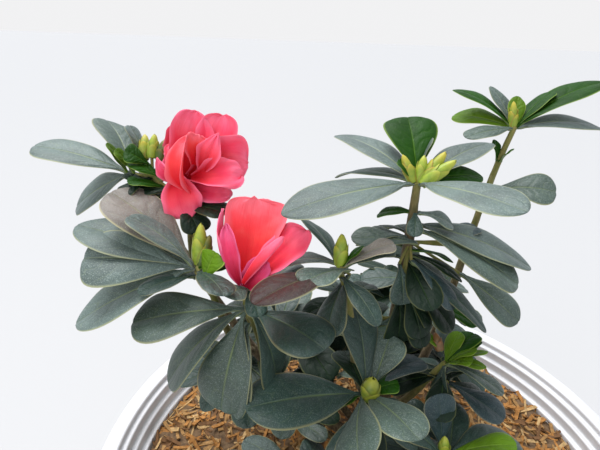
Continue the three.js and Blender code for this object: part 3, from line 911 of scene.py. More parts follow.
# Shoots in the row's millimetres. A lead leaf is (turn, lift, length, width, roll, tone): turn is the
# compass angle from +X, lift the slope of the line to its tip, and roll leans its face to the side.
# A bud is (turn, lift, length, radius, tone). Either may end with a base of its own. A shoot with a limb
# grows on a twig from that share of the limb's length.
shoots = [
    {"mass": "top_left", "tip": (-121, 15, 393),
     "leads": [(173, 12, 46, 22, -10, "silver"), (126, 26, 40, 21, 20, "sage"),
               (161, -32, 42, 20, -40, "silver"),
               (98, 9, 36, 18, -30, "silver"), (70, -47, 36, 18, 60, "deep")]},
    {"mass": "flower_upper", "limb": ("bough_left", 0.88), "tip": (-110, 10, 393),
     "leads": [(-170, 64, 16, 8, -5, "lime", (-123, 14, 392)),
               (-170, 60, 13, 9, -10, "lime", (-119, 12, 393)),
               (-160, 36, 11, 12, -30, "fresh", (-112, 11, 398)),
               (176, 29, 16, 12, -4, "fresh", (-105, 8, 392)),
               (-158, 17, 15, 11, -8, "fresh", (-105, 7, 389)),
               (175, 20, 10, 10, -5, "shade", (-113, 9, 390)),
               (-172, 2, 17, 13, -18, "shade", (-101, 6, 388)),
               (162, -16, 15, 12, -15, "deep", (-102, 7, 386)),
               (145, 66, 17, 13, 25, "silver", (-117, 18, 397)), (-130, -15, 16, 10, -10, "shade"),
               (60, 30, 14, 10, 0, "shade", (-106, 12, 396)), (-175, -15, 18, 12, 0, "deep", (-104, 6, 386))],
     "buds": [(95, 55, 12, 2.5, "gold", (-115, 15, 399)), (80, 64, 11, 2.2, "lime", (-111, 14, 400)),
              (60, 66, 10, 2.5, "olive", (-107, 13, 399))]},
    {"mass": "flower_upper", "tip": (-98, 5, 386),
     "leads": [(-155, -12, 24, 14, 0, "shade"), (-50, -30, 20, 13, 0, "shade"),
               (-20, 3, 21, 14, 10, "shade", (-95, 2, 382))]},
    {"mass": "middle_left", "tip": (-86, -19, 365),
     "leads": [(-176, 6, 44, 27, -32, "silver"), (158, 33, 48, 25, -10, "brown"),
               (172, 38, 32, 20, 7, "silver", (-87, -21, 366)), (168, 13, 54, 24, -10, "silver"),
               (-165, -23, 52, 24, -10, "silver"),
               (45, 62, 13, 14, 0, "lime", (-82, -24, 361)), (-10, 12, 13, 8, 0, "fresh")],
     "buds": [(86, 66, 18, 3.1, "lime"), (60, 58, 14, 2.5, "olive")]},
    {"mass": "front_left", "tip": (-65, -26, 351),
     "leads": [(-173, -6, 45, 27, -12, "sage"), (-163, -44, 46, 24, 0, "sage"),
               (-122, -67, 44, 26, -10, "sage"),
               (-12, -72, 38, 24, 10, "deep"), (-37, 0, 38, 28, -1, "deep"), (127, -27, 20, 14, -10, "sage"),
               (55, 10, 34, 18, -20, "silver"), (-100, -63, 39, 14, 30, "sage", (-64, -28, 345))]},
    {"mass": "flower_lower", "limb": ("bough_front_left", 0.86), "tip": (-66, -22, 359),
     "leads": [(-130, 12, 14, 15, -5, "sage", (-64, -24, 359)), (20, -10, 22, 12, 0, "deep"),
               (110, 0, 20, 11, 0, "shade"), (-60, -25, 14, 9, 0, "deep")]},
    {"mass": "flower_shoot", "tip": (-28, -19, 367),
     "leads": [(-139, 4, 44, 21, 10, "bronze", (-27, -20, 365)),
               (-140, 7, 25, 17, 12, "sage", (-24, -21, 367)),
               (155, -14, 25, 17, 2, "silver", (-29, -16, 367)), (20, 45, 13, 8, -20, "fresh"),
               (121, 18, 34, 18, 30, "deep"), (14, 24, 24, 15, -10, "brown"), (20, 12, 24, 14, -10, "sage"),
               (-112, -32, 30, 20, 35, "deep", (-23, -12, 360))],
     "buds": [(86, 65, 14, 2.8, "lime")]},
    {"mass": "top_centre", "tip": (3, 0, 398),
     "leads": [(-163, -9, 58, 25, -10, "silver"), (92, 38, 36, 24, 0, "fresh"),
               (128, 11, 52, 20, 0, "silver"),
               (128, -13, 50, 18, 0, "sage"), (32, 17, 44, 18, 0, "silver"), (-57, 6, 48, 21, 10, "silver"),
               (23, 0, 34, 13, 20, "fresh"), (150, 47, 12, 8, -10, "fresh"), (62, 46, 22, 10, -60, "sage")],
     "buds": [(144, 60, 13, 2.1, "gold"), (60, 70, 12, 2.3, "lime"), (24, 50, 17, 2.6, "gold"),
              (0, 40, 17, 2.5, "lime")]},
    {"mass": "top_centre", "tip": (4, 0, 385),
     "leads": [(150, -16, 16, 12, -10, "fresh"), (0, -18, 17, 13, 8, "silver"),
               (-100, -25, 13, 7, 0, "deep")]},
    {"mass": "upper_centre", "tip": (4, 1, 370),
     "leads": [(-20, -21, 48, 25, 10, "sage", (5, -1, 377)), (-10, -16, 55, 21, 9, "silver", (4, 2, 378)),
               (-30, -29, 33, 18, 13, "sage", (29, 3, 354)), (-30, -32, 44, 14, -2, "deep", (4, -2, 362)),
               (-40, -34, 27, 14, -5, "ink", (4, -5, 364)), (-75, -62, 18, 13, 0, "deep", (-1, -5, 362)),
               (180, 3, 29, 15, -6, "sage", (6, -5, 372)), (-70, -80, 26, 15, 0, "shade", (0, -6, 348)),
               (-60, -51, 24, 15, 2, "shade", (2, -6, 352)),
               (-35, -37, 30, 18, 0, "shade", (5, 0, 352)), (-50, -44, 22, 17, -15, "shade", (4, -1, 350)),
               (-62, -40, 24, 15, -10, "shade", (3, -1, 342)), (-10, -10, 20, 8, -15, "fresh", (4, 0, 366)),
               (-20, -20, 25, 9, -5, "shade", (5, 0, 364)), (175, 0, 18, 14, 3, "sage", (2, -2, 373)),
               (16, 22, 16, 14, 0, "ink", (20, 2, 370)), (0, 20, 11, 6, 0, "fresh", (30, 2, 368)),
               (50, 20, 8, 5, -10, "lime", (25, 2, 370)), (100, -20, 30, 15, 0, "shade", (4, 4, 372)),
               (140, -15, 26, 14, 0, "shade", (3, 4, 366)), (60, -20, 28, 14, 0, "shade", (6, 4, 356))]},
    {"mass": "flower_shoot", "limb": ("main_stem", 0.60), "tip": (-20, -6, 345),
     "leads": [(-18, -8, 11, 8, 10, "deep"), (150, 5, 22, 12, 0, "deep"), (-160, -15, 24, 13, 0, "shade"),
               (60, -10, 20, 12, 0, "shade")]},
    {"mass": "low_right", "limb": ("main_stem", 0.58), "tip": (20, 2, 337),
     "leads": [(-30, -10, 20, 10, 0, "fresh"), (10, -20, 26, 14, 0, "shade"), (70, -10, 24, 13, 0, "deep")]},
    {"mass": "centre_front", "limb": ("main_stem", 0.46), "tip": (-8, -6, 330),
     "leads": [(20, -5, 22, 13, 0, "deep"), (80, 0, 20, 12, 0, "shade"), (140, 5, 22, 13, 0, "shade")]},
    {"mass": "centre_front", "tip": (-14, -28, 310),
     "leads": [(-158, 11, 54, 27, -10, "deep"), (-99, 2, 36, 23, 50, "sage"), (-65, 17, 37, 20, 0, "sage"),
               (105, 57, 37, 23, 25, "deep", (-14, -29.5, 311)),
               (60, 47, 24, 18, 12, "sage", (-10, -25, 311)),
               (108, 9, 24, 18, 10, "shade"), (5, 22, 15, 12, 0, "fresh"), (-156, -10, 12, 8, 20, "fresh"),
               (30, 12, 32, 20, -20, "ink")],
     "buds": [(60, 82, 11, 4.2, "moss", (-12.5, -31.5, 310))]},
    {"mass": "low_right", "tip": (27, -8, 311),
     "leads": [(35, 28, 21, 17, -28, "fresh"), (0, 37, 16, 8, -15, "lime"), (10, 14, 21, 8, -20, "lime"),
               (-30, 34, 13, 9, 0, "lime"), (150, 32, 14, 7, 3, "lime", (25, -6, 316)),
               (-70, 45, 9, 6, 0, "lime"),
               (55, 30, 18, 9, -15, "lime"), (15, 30, 20, 8, -15, "fresh"), (-10, 5, 18, 8, -10, "lime"),
               (-38, -4, 27, 15, -15, "sage"), (-108, -55, 18, 16, 60, "deep"), (70, 10, 26, 14, 0, "deep")],
     "buds": [(110, 50, 9, 2.0, "brown", (24, -6, 316))]},
    {"mass": "low_right", "limb": ("bough_low_right", 0.75), "tip": (28, -12, 303),
     "leads": [(-40, -8, 27, 18, -3, "ink"), (150, -10, 20, 14, 40, "shade"), (60, -10, 26, 15, 0, "shade"),
               (0, -30, 26, 15, 0, "shade")]},
    {"mass": "low_front", "tip": (22, -39, 286),
     "leads": [(-10, 28, 30, 17, -20, "lime"), (-42, 8, 32, 17, 0, "fresh"), (20, -5, 40, 20, 0, "deep"),
               (160, 30, 34, 20, 0, "deep"), (-110, 15, 38, 20, 0, "sage"),
               (108, 70, 26, 16, 0, "ink", (21, -36, 286))],
     "buds": [(90, 75, 9, 2.2, "lime")]},
    {"mass": "top_right", "tip": (57, 41, 414),
     "leads": [(140, 24, 36, 18, 0, "fresh"), (134, 2, 32, 16, -20, "lime"), (112, 41, 26, 12, 10, "sage"),
               (30, 36, 28, 13, -20, "fresh"), (16, 25, 52, 20, 0, "fresh"), (6, -1, 48, 20, 10, "silver"),
               (-164, -8, 26, 13, -10, "sage"), (75, 55, 17, 8, 0, "lime")],
     "buds": [(110, 78, 13, 1.9, "gold")]},
    {"mass": "top_right", "limb": ("bough_right", 0.86), "tip": (45, 27, 387),
     "leads": [(-22, 8, 28, 20, 22, "sage")]},
    {"mass": "top_right", "limb": ("bough_right", 0.93), "tip": (50, 35, 399),
     "leads": [(100, 58, 11, 6, 20, "fresh"), (-40, 55, 9, 5, 0, "fresh")]},
]

# The other leaves of each mass, dealt round by the golden turn: tip, count, lift, length, tones, side sprays
# Masses inside, low and at the back take the darker tones, with painted shade; the front corners also take
# the palest, with painted sky reflection.
whorls = {
    "top_centre": ((3, 0, 397), 0, 15, 34, ("silver", "deep"), 0),
    "top_left": ((-121, 15, 391), 2, 5, 30, ("sage", "deep"), 0),
    "top_right": ((57, 41, 412), 0, 5, 30, ("sage", "deep"), 0),
    "flower_upper": ((-98, 5, 386), 0, -5, 24, ("deep", "shade"), 0),
    "flower_lower": ((-66, -22, 357), 2, -10, 20, ("deep", "shade"), 0),
    "middle_left": ((-86, -19, 363), 5, -8, 28, ("deep", "sage"), 0),
    "upper_centre": ((4, 2, 362), 3, -25, 30, ("shade", "deep"), 0),
    "flower_shoot": ((-28, -19, 363), 2, -15, 26, ("deep", "shade"), 0),
    "front_left": ((-65, -27, 347), 0, -25, 28, ("shade", "deep"), 0),
    "centre_front": ((-14, -28, 307), 6, -15, 32, ("shade", "deep"), 0),
    "low_right": ((27, -8, 307), 6, -15, 30, ("shade", "deep"), 0),
    "low_front": ((24, -40, 284), 7, 0, 36, ("deep", "sage"), 1),
    "back_high": ((28, 60, 316), 9, -8, 40, ("deep", "sage", "shade"), 3),
    "back_middle": ((-8, 62, 292), 9, 0, 42, ("deep", "shade", "sage"), 3),
    "back_left": ((-48, 38, 298), 9, 0, 42, ("deep", "shade", "sage"), 3),
    "back_right": ((38, 52, 276), 9, 0, 36, ("shade", "deep", "sage"), 3),
    "low_left": ((-74, 14, 290), 9, -5, 34, ("shade", "deep", "sage"), 3),
    "far_front": ((-6, -90, 282), 9, 0, 42, ("deep", "sage", "silver"), 3),
    "front_corner_left": ((-56, -70, 284), 9, 0, 42, ("sage", "deep", "silver"), 3),
    "front_corner_right": ((50, -78, 280), 9, 0, 42, ("deep", "sage", "silver"), 3),
}
whorlRule = {
    "sway": 18,  # degrees that lifts differ
    "spare": 24,  # degrees kept clear of a lead leaf
    "swayPace": 2.4,
    "turnFrom": 3,  # degrees for each mm of the tip's y
    "lengths": (0.92, 0.08, 1.7),  # middle share of the length, its swing and the swing's pace
    "width": 0.48,
    "widths": (0.9, 1.12),
    "step": 1.0,
    "roll": 16,
    "sprayFrom": (0.62, 0.9),  # where side twigs leave the bough
    "sprayReach": 17,
    "sprayLift": 32,
    "sprayLeaves": 6,
    "sprayLeaf": 29,
    "sprayLeafLift": 8,
}


# Leaves of a whorl that find room between its lead leaves
def addWhorl(bundle, tip, count, lift, length, tones, taken, dice):
    usual, swing, pace = whorlRule["lengths"]
    for i in range(count):
        turn = i * goldenTurn + tip[1] * whorlRule["turnFrom"]
        slope = lift + whorlRule["sway"] * math.sin(i * whorlRule["swayPace"] + tip[0])
        toward = direction(turn, slope)
        if any(toward @ other > math.cos(math.radians(whorlRule["spare"])) for other in taken):
            continue
        reach = length * (usual + swing * math.cos(i * pace + tip[1]))
        base = np.array(tip, float) + direction(turn, 0) - [0, 0, whorlRule["step"] * i]
        width = reach * whorlRule["width"] * dice.uniform(*whorlRule["widths"])
        roll = dice.uniform(-whorlRule["roll"], whorlRule["roll"])
        addLeaf(bundle, base, (turn, slope, reach, width, roll), tones[i % len(tones)], dice)


# The two open blooms; a tint under 1 is painted shade on the back petals and on those in folds
blooms = {
    "bloomUpper": {
        "centre": (-88, 7, 400),
        "petals": [
            {"spine": [(-12, -8, -8), (2, 4, -12), (14, 11, -12)], "width": 20, "face": (0, 0, 1),
             "tint": 0.9},
            {"spine": [(-12, -8, -8), (-8, 6, -12), (-3, 16, -12)], "width": 20, "face": (0, 0, 1),
             "tint": 0.9},
            {"spine": [(-11, -8, -8), (-12, -3, -9), (-12.5, 2, -8)], "width": 9, "face": (0, 0, 1),
             "tint": 0.9},
            {"spine": [(-12, -8, -8), (0, -8, -9), (11, -10, -9)], "width": 18, "face": (0, 0, 1),
             "tint": 0.9},
            {"spine": [(-6, -6, -6), (-5, 8, -3), (-1.5, 22.5, -5)], "width": 20, "face": (0.15, -0.2, 1),
             "wrap": (60, 18)},
            {"spine": [(-4, -6, -6), (5, 8, -4), (9.5, 22, -7)], "width": 19, "face": (-0.1, -0.25, 1),
             "wrap": (60, 15)},
            {"spine": [(-5, -6, -5), (9, 0.5, -1), (20, 1, -2)], "width": 23, "face": (-0.25, 0.1, 1),
             "wrap": (60, 12),
             "square": 4},
            {"spine": [(-6, -9, -1), (3, -11, 3), (13, -11.5, 2)], "width": 11, "face": (0, 0.25, 1),
             "slot": "petalPink"},
            {"spine": [(-3, 0, -1), (-1.5, 7, 2), (-0.5, 12, 1)], "width": 13, "face": (0.2, -0.3, 0.9),
             "slot": "petalWarm",
             "square": 5, "ruffle": 0.5},
            {"spine": [(0, -4, 0), (3, 4, 4), (7.2, 13.2, 4)], "width": 11, "face": (-0.35, 0.05, 0.93),
             "square": 1.3,
             "blunt": 0.85, "ruffle": 0.25, "wrap": (30, 10)},
            {"spine": [(-4, -6, -2), (6, -4.5, 5), (17.5, -4, 3)], "width": 16, "face": (-0.1, 0.5, 0.85),
             "wrap": (75, 30),
             "square": 4},
            {"spine": [(-8, -5, -3), (-11, 2.5, 0), (-10.5, 8.5, -1)], "width": 8, "face": (-0.4, -0.1, 0.9)},
            {"spine": [(-9, -6, -3), (-12.5, -1.5, -1), (-14.5, 4, -2)], "width": 7, "face": (-0.6, 0, 0.8),
             "slot": "petalPink", "square": 1.6, "blunt": 0.8},
            {"spine": [(-10, -8, -2), (-14.5, -4, 1), (-17.5, 2, 0)], "width": 7, "face": (-0.5, -0.3, 0.8),
             "square": 1.4, "blunt": 0.8, "ruffle": 0.3, "slot": "petalPink"},
            {"spine": [(-9, -5, -4), (-8, -14, 4), (-4.5, -22.5, 3)], "width": 17, "face": (-0.2, 0.15, 1),
             "wrap": (50, -8),
             "square": 3},
            {"spine": [(-3, -12.5, 1), (-8.5, -2, 8), (-5.4, 11.5, 5)], "width": 14,
             "face": (-0.75, 0.1, 0.65),
             "wrap": (80, 55), "ruffle": 0.45, "square": 1.6, "blunt": 0.7, "slot": "petalWarm"},
        ],
    },
    "bloomLower": {
        "centre": (-60, -16.5, 376),
        "petals": [
            {"spine": [(-6, -17, -3), (5, -4, -11), (12, 7, -13)], "width": 17, "face": (0, 0, 1),
             "wrap": (12, 8),
             "tint": 0.9},
            {"spine": [(-6, -17, -3), (-10, -4, -11), (-11, 9, -13)], "width": 15, "face": (0, 0, 1),
             "wrap": (12, 8),
             "tint": 0.9},
            {"spine": [(-7, -16, -3), (-4, 0, -6), (-1.4, 18, -8)], "width": 27, "face": (0, 0, 1),
             "wrap": (75, 30),
             "foot": 0.42, "square": 8, "blunt": 0.4, "ragged": 0.9, "broadest": 0.75, "slot": "petalWarm"},
            {"spine": [(-8, -16.5, -1), (-16, -3, 0), (-15.5, 13.5, -3)], "width": 8, "face": (0.95, 0, 0.3),
             "wrap": (60, 30), "ruffle": 1.1, "square": 2.5, "slot": "petalPink"},
            {"spine": [(-4, -15, 0), (8, -4, 1), (18, 5, -1)], "width": 17, "face": (-0.35, 0.5, 0.8),
             "wrap": (35, 10),
             "square": 3.5},
            {"spine": [(-8, -17, 1), (-11.3, -7, 3.5), (-13.8, 7, 1)], "width": 8, "face": (-0.3, 0, 1),
             "wrap": (50, 30),
             "slot": "petalPink", "tint": 0.8, "square": 2.2},
            {"spine": [(-6, -18, 1), (-3, -13, 3.5), (2, -7.5, 4)], "width": 10, "face": (0, 0.3, 1),
             "wrap": (25, 10),
             "foot": 0.5, "folds": 0.15, "ruffle": 0.2, "slot": "petalPink", "tint": 0.68, "square": 4},
            {"spine": [(-7.4, -16, 4), (-1, -7, 6), (8.5, 2, 4)], "width": 5, "face": (-0.3, 0.35, 0.85),
             "wrap": (-60, -35), "foot": 0.5, "ruffle": 0.3, "folds": 0, "crease": 0, "square": 3},
        ],
    },
}


def bloomAxes(centre):
    up = np.array(cameraAxes()[1])
    toward = unit(np.array(cameraSet["eye"]) - centre)
    above = unit(up - toward * (up @ toward))
    return np.stack([np.cross(above, toward), above, toward])


def addBloom(name, bloom):
    dice = np.random.default_rng(sum(map(ord, name)))
    centre = np.array(bloom["centre"], float)
    bundle = newBundle()
    for petal in bloom["petals"]:
        addPetal(bundle, centre, bloomAxes(centre), petal, dice)
    return makeMesh(name, bundle, 60)


# The surface of soil and strips is how fine its patches are, its roughness and its relief in metres
soilPaint = {
    "colours": ((0.085, 0.050, 0.025), (0.19, 0.115, 0.058)),
    "surface": (300.0, 0.9, 0.002),
}
stripPaint = {
    "colours": {"tan": (0.42, 0.23, 0.080), "orange": (0.45, 0.20, 0.048), "umber": (0.19, 0.090, 0.032),
                "straw": (0.56, 0.36, 0.155)},
    "darker": 0.6,  # share of the colour that its patches keep
    "surface": (500.0, 0.85, 0.0006),
}
materials = {}


def makeMaterials():
    veins, hairs = leafVeinGroup(), hairGroup()
    for tone, look in leafTones.items():
        materials[tone] = leafMaterial("leaf_" + tone, look, veins, hairs)
    materials["under"] = undersideMaterial("leafUnderside", veins, hairs)
    for name, look in petalLooks.items():
        materials[name] = petalMaterial(name, look)
    materials["plastic"] = plasticMaterial()
    materials["soil"] = plainMaterial("soil", *soilPaint["colours"], *soilPaint["surface"])
    materials["bark"] = barkMaterial()
    for tone, look in budLooks.items():
        materials["bud_" + tone] = budMaterial("bud_" + tone, look)
    for tone, colour in stripPaint["colours"].items():
        darker = tuple(part * stripPaint["darker"] for part in colour)
        materials["strip_" + tone] = plainMaterial("strip_" + tone, colour, darker, *stripPaint["surface"])


# Pale surroundings: the camera sees a plain backdrop, and the plant is lit by a faintly blue sky
def setWorld():
    world = bpy.data.worlds.new("studio")
    bpy.context.scene.world = world
    world.use_nodes = True
    tree = world.node_tree
    seen = tree.nodes.new("ShaderNodeLightPath").outputs["Is Camera Ray"]
    backdrop = tree.nodes["Background"]
    colour = blendColour(tree, seen, studioSet["skyColour"], studioSet["backColour"])
    feed(tree, backdrop.inputs["Color"], colour)
    backdrop.inputs["Strength"].default_value = studioSet["skyStrength"]
    bpy.context.scene.view_settings.view_transform = "Standard"


def addFloor():
    edge = studioSet["floorSize"]
    mesh = bpy.data.meshes.new("floor")
    mesh.from_pydata([(-edge, -edge, 0), (edge, -edge, 0), (edge, edge, 0), (-edge, edge, 0)], [],
                     [(0, 1, 2, 3)])
    material, _, shader = newMaterial("paleFloor", 0.8, 0.2)
    shader.inputs["Base Color"].default_value = studioSet["floorColour"]
    mesh.materials.append(material)
    placed("floor", mesh)


setCamera()
setWorld()
addOverhead(studioSet["overhead"])
addSoftLight("frontFill", studioSet["frontFill"])
addFloor()
makeMaterials()
print("camera, studio and materials ready")

# Limbs, in mm: close to the paths of the frame's solids, but two boughs end elsewhere
limbSet = {
    "foot": (0, 0, 226.3),
    "stemTop": (3, 0, 398),
    "stemLean": (2, 4),
    "stemRadii": (6.0, 1.6),
    "flare": 0.7,
    "flareHeight": 14,
    "boughTip": 1.3,
    "leave": (0.3, 0.12),  # how far out and up a bough sets off, in shares of its reach
    "arrive": (0.16, 0.5),  # how far in and down its last control point stands, the second times its rise
    "step": 2.5,
}
boughs = {
    "bough_left": ("main_stem", 0.10, (-121, 15, 393), 3.4, 0.55),
    "bough_flower_upper": ("bough_left", 0.74, (-93.5, 3, 389), 1.9, 0.3),  # ends lower, behind the petals
    "bough_middle_left": ("bough_left", 0.46, (-86, -19, 363), 2.2, 0.35),
    "bough_front_left": ("bough_left", 0.30, (-65, -27, 349), 2.3, 0.35),  # ends 4 mm higher
    "bough_flower_shoot": ("main_stem", 0.30, (-28, -19, 365), 2.4, 0.6),
    "bough_centre_front": ("main_stem", 0.16, (-14, -28, 309), 2.4, 0.5),
    "bough_right": ("main_stem", 0.20, (57, 41, 414), 2.8, 0.6),
    "bough_low_right": ("main_stem", 0.26, (27, -8, 311), 2.2, 0.5),
    "bough_low_front": ("main_stem", 0.08, (22, -39, 284), 2.2, 0.5),
    "bough_back_high": ("main_stem", 0.14, (28, 60, 316), 2.4, 0.5),
    "bough_back_middle": ("main_stem", 0.06, (-8, 62, 292), 2.4, 0.5),
    "bough_back_left": ("main_stem", 0.12, (-48, 38, 298), 2.4, 0.5),
    "bough_back_right": ("main_stem", 0.07, (38, 52, 276), 2.2, 0.5),
    "bough_low_left": ("main_stem", 0.05, (-74, 14, 290), 2.2, 0.5),
    "bough_far_front": ("main_stem", 0.09, (-6, -90, 282), 2.4, 0.5),
    "bough_corner_left": ("main_stem", 0.07, (-56, -70, 284), 2.4, 0.5),
    "bough_corner_right": ("main_stem", 0.05, (50, -78, 280), 2.4, 0.5),
}


# Points along a cubic curve at even steps of length
def evenCurve(corners, step):
    first, second, third, last = (np.asarray(corner, float) for corner in corners)
    share = np.linspace(0, 1, 200)[:, None]
    curve = ((1 - share) ** 3 * first + 3 * (1 - share) ** 2 * share * second
             + 3 * (1 - share) * share ** 2 * third + share ** 3 * last)
    walked = np.concatenate([[0], np.cumsum(np.linalg.norm(np.diff(curve, axis=0), axis=1))])
    count = max(4, round(walked[-1] / step))
    wanted = np.linspace(0, walked[-1], count + 1)
    return np.stack([np.interp(wanted, walked, curve[:, axis]) for axis in range(3)], axis=1), wanted


def limbPaths():
    step = limbSet["step"]
    out, up = limbSet["leave"]
    back, down = limbSet["arrive"]
    foot, top = np.array(limbSet["foot"], float), np.array(limbSet["stemTop"], float)
    third = (top[2] - foot[2]) / 3
    lean = np.array([*limbSet["stemLean"], -third])
    points, walked = evenCurve((foot, foot + [0, 0, third], top + lean, top), step)
    wide, narrow = limbSet["stemRadii"]
    share = walked / walked[-1]
    flare = 1 + limbSet["flare"] * np.exp(-walked / limbSet["flareHeight"])
    radii = (wide + (narrow - wide) * share) * flare
    paths = {"main_stem": (points, radii)}
    for name, (parent, start, tip, radius, rise) in boughs.items():
        parentPoints = paths[parent][0]
        begin = parentPoints[round(start * (len(parentPoints) - 1))]
        tip = np.array(tip, float)
        span = np.linalg.norm(tip - begin)
        outward = unit((tip - begin) * [1, 1, 0])
        leave = outward * span * out + [0, 0, span * up]
        arrive = -outward * span * back - [0, 0, span * rise * down]
        points, walked = evenCurve((begin, begin + leave, tip + arrive, tip), step)
        share = walked / walked[-1]
        paths[name] = (points, radius + (limbSet["boughTip"] - radius) * share)
    return paths


# Ends a tree: its geometry smooth, made real and in its material
def finishTree(tree, end, flow, material):
    smooth = addNode(tree, "GeometryNodeSetShadeSmooth", None, i0=flow)
    solid = addNode(tree, "GeometryNodeRealizeInstances", None, i0=smooth.outputs[0])
    coated = addNode(tree, "GeometryNodeSetMaterial", None, Geometry=solid.outputs[0], Material=material)
    feed(tree, end.inputs["Geometry"], coated.outputs[0])
    return tree


# Sweeps round limbs along drawn lines, with knobbly bark and an age from thin green to thick brown
def barkTree(material):
    given = [("Geometry", "NodeSocketGeometry", None), ("Sides", "NodeSocketInt", 10),
             ("Knobs", "NodeSocketFloat", 0.0003), ("Knob Scale", "NodeSocketFloat", 260.0),
             ("Young Radius", "NodeSocketFloat", 0.0014), ("Old Radius", "NodeSocketFloat", 0.0022)]
    tree, start, end = newGroup("sweepBark", "GeometryNodeTree", given, [("Geometry", "NodeSocketGeometry")])
    girth = addNode(tree, "GeometryNodeInputNamedAttribute", {"data_type": "FLOAT"}, Name="girth").outputs[0]
    line = addNode(tree, "GeometryNodeMeshToCurve", None, i0=start.outputs["Geometry"])
    circle = addNode(tree, "GeometryNodeCurvePrimitiveCircle", None, Resolution=start.outputs["Sides"],
                     Radius=1.0)
    aged = addNode(tree, "GeometryNodeStoreNamedAttribute", {"data_type": "FLOAT", "domain": "POINT"},
                   Geometry=line.outputs[0], Name="age")
    young, old = start.outputs["Young Radius"], start.outputs["Old Radius"]
    feed(tree, aged.inputs["Value"], smoothStep(tree, girth, young, old))
    swept = addNode(tree, "GeometryNodeCurveToMesh", None, Curve=aged.outputs[0], Scale=girth)
    feed(tree, swept.inputs["Profile Curve"], circle.outputs[0])
    swept.inputs["Fill Caps"].default_value = True
    place = tree.nodes.new("GeometryNodeInputPosition").outputs[0]
    normal = tree.nodes.new("GeometryNodeInputNormal").outputs[0]
    lump = maths(tree, "SUBTRACT", noise(tree, place, start.outputs["Knob Scale"], 3.0), 0.5)
    push = maths(tree, "MULTIPLY", lump, maths(tree, "MULTIPLY", start.outputs["Knobs"], 2.0))
    moved = addNode(tree, "GeometryNodeSetPosition", None, Geometry=swept.outputs[0],
                    Offset=scaled(tree, normal, push))
    return finishTree(tree, end, moved.outputs[0], material)


# Turns the host into the plain mesh that its tree makes
def grown(name, host, tree, **values):
    modifier = host.modifiers.new("grow", "NODES")
    modifier.node_group = tree
    for item in tree.interface.items_tree:
        key = item.name.replace(" ", "")
        if item.in_out == "INPUT" and key in values:
            modifier[item.identifier] = values[key]
    bpy.context.view_layer.update()
    evaluated = host.evaluated_get(bpy.context.evaluated_depsgraph_get())
    mesh = bpy.data.meshes.new_from_object(evaluated)
    mesh.name = name
    host.modifiers.remove(modifier)
    bpy.data.objects.remove(host)
    return placed(name, mesh)


def lineHost(name, lines):
    points, edges, girths = [], [], []
    for path, radii in lines:
        first = len(points)
        points += [tuple(point * mm) for point in path]
        girths += [radius * mm for radius in radii]
        edges += [(first + i, first + i + 1) for i in range(len(path) - 1)]
    mesh = bpy.data.meshes.new(name)
    mesh.from_pydata(points, edges, [])
    mesh.attributes.new("girth", "FLOAT", "POINT").data.foreach_set("value", girths)
    return placed(name, mesh)


# Pot, close to the frame's: (radius, height, corner radius) of its corners, from the outer foot up and in
potSet = {
    "segments": 168,
    "corners": [(0, 0, 0), (108, 0, 2.5), (130.2, 213.2, 0.6), (133.5, 214.5, 0.4), (140.4, 236.6, 1.2),
                (146.6, 236.6, 1.2), (145.8, 214.3, 0.5), (149, 214, 0.8), (150, 240, 2.2), (140.3, 240, 1.2),
                (140.3, 236.3, 0.9), (137.1, 236.3, 1.0), (137.1, 230.1, 0.9), (133.9, 230.1, 1.0),
                (133.9, 223.9, 0.9), (130.7, 223.9, 1.0), (105, 3, 3.0), (0, 3, 0)],
    "holdBack": 0.5,
    "arcSteps": 4,
}


# A corner list as a line with round corners, and a point on each side that keeps flat stretches flat
def roundedProfile(corners, arcSteps, holdBack):
    line = []
    places = [np.array(corner[:2], float) for corner in corners]
    for i, (radius, height, fillet) in enumerate(corners):
        here = places[i]
        if fillet == 0:
            line.append(here)
            continue
        before, after = unit(places[i - 1] - here), unit(places[i + 1] - here)
        angle = math.acos(np.clip(before @ after, -1, 1))
        reach = fillet / math.tan(angle / 2)
        middle = here + unit(before + after) * fillet / math.sin(angle / 2)
        arm, end = here + before * reach - middle, here + after * reach - middle
        line.append(here + before * (reach + holdBack))
        for k in range(arcSteps + 1):
            share = k / arcSteps
            blendArm = unit(arm * (1 - share) + end * share) * fillet
            line.append(middle + blendArm)
        line.append(here + after * (reach + holdBack))
    return line


# Spins a profile drawn in the XZ plane round the upright axis
def lathe(material):
    given = [("Geometry", "NodeSocketGeometry", None), ("Segments", "NodeSocketInt", 96),
             ("Weld", "NodeSocketFloat", 0.00001)]
    tree, start, end = newGroup("spinProfile", "GeometryNodeTree", given,
                                [("Geometry", "NodeSocketGeometry")])
    profile = start.outputs["Geometry"]
    count = addNode(tree, "GeometryNodeAttributeDomainSize", None, i0=profile).outputs[0]
    around = maths(tree, "ADD", start.outputs["Segments"], 1.0)
    grid = addNode(tree, "GeometryNodeMeshGrid")
    feed(tree, grid.inputs["Vertices X"], around)
    feed(tree, grid.inputs["Vertices Y"], count)
    index = tree.nodes.new("GeometryNodeInputIndex").outputs[0]
    ring = maths(tree, "FLOOR", maths(tree, "DIVIDE", index, count))
    step = maths(tree, "MODULO", index, count)
    angle = maths(tree, "DIVIDE", maths(tree, "MULTIPLY", ring, math.tau), start.outputs["Segments"])
    place = tree.nodes.new("GeometryNodeInputPosition").outputs[0]
    point = addNode(tree, "GeometryNodeSampleIndex", {"data_type": "FLOAT_VECTOR"}, Geometry=profile,
                    Value=place, Index=step)
    spin = addNode(tree, "FunctionNodeAxisAngleToRotation", None, Axis=(0, 0, 1), Angle=angle)
    turned = addNode(tree, "FunctionNodeRotateVector", None, Vector=point.outputs[0],
                     Rotation=spin.outputs[0])
    moved = addNode(tree, "GeometryNodeSetPosition", None, Geometry=grid.outputs[0],
                    Position=turned.outputs[0])
    welded = addNode(tree, "GeometryNodeMergeByDistance", None, Geometry=moved.outputs[0],
                     Distance=start.outputs["Weld"])
    return finishTree(tree, end, welded.outputs[0], material)


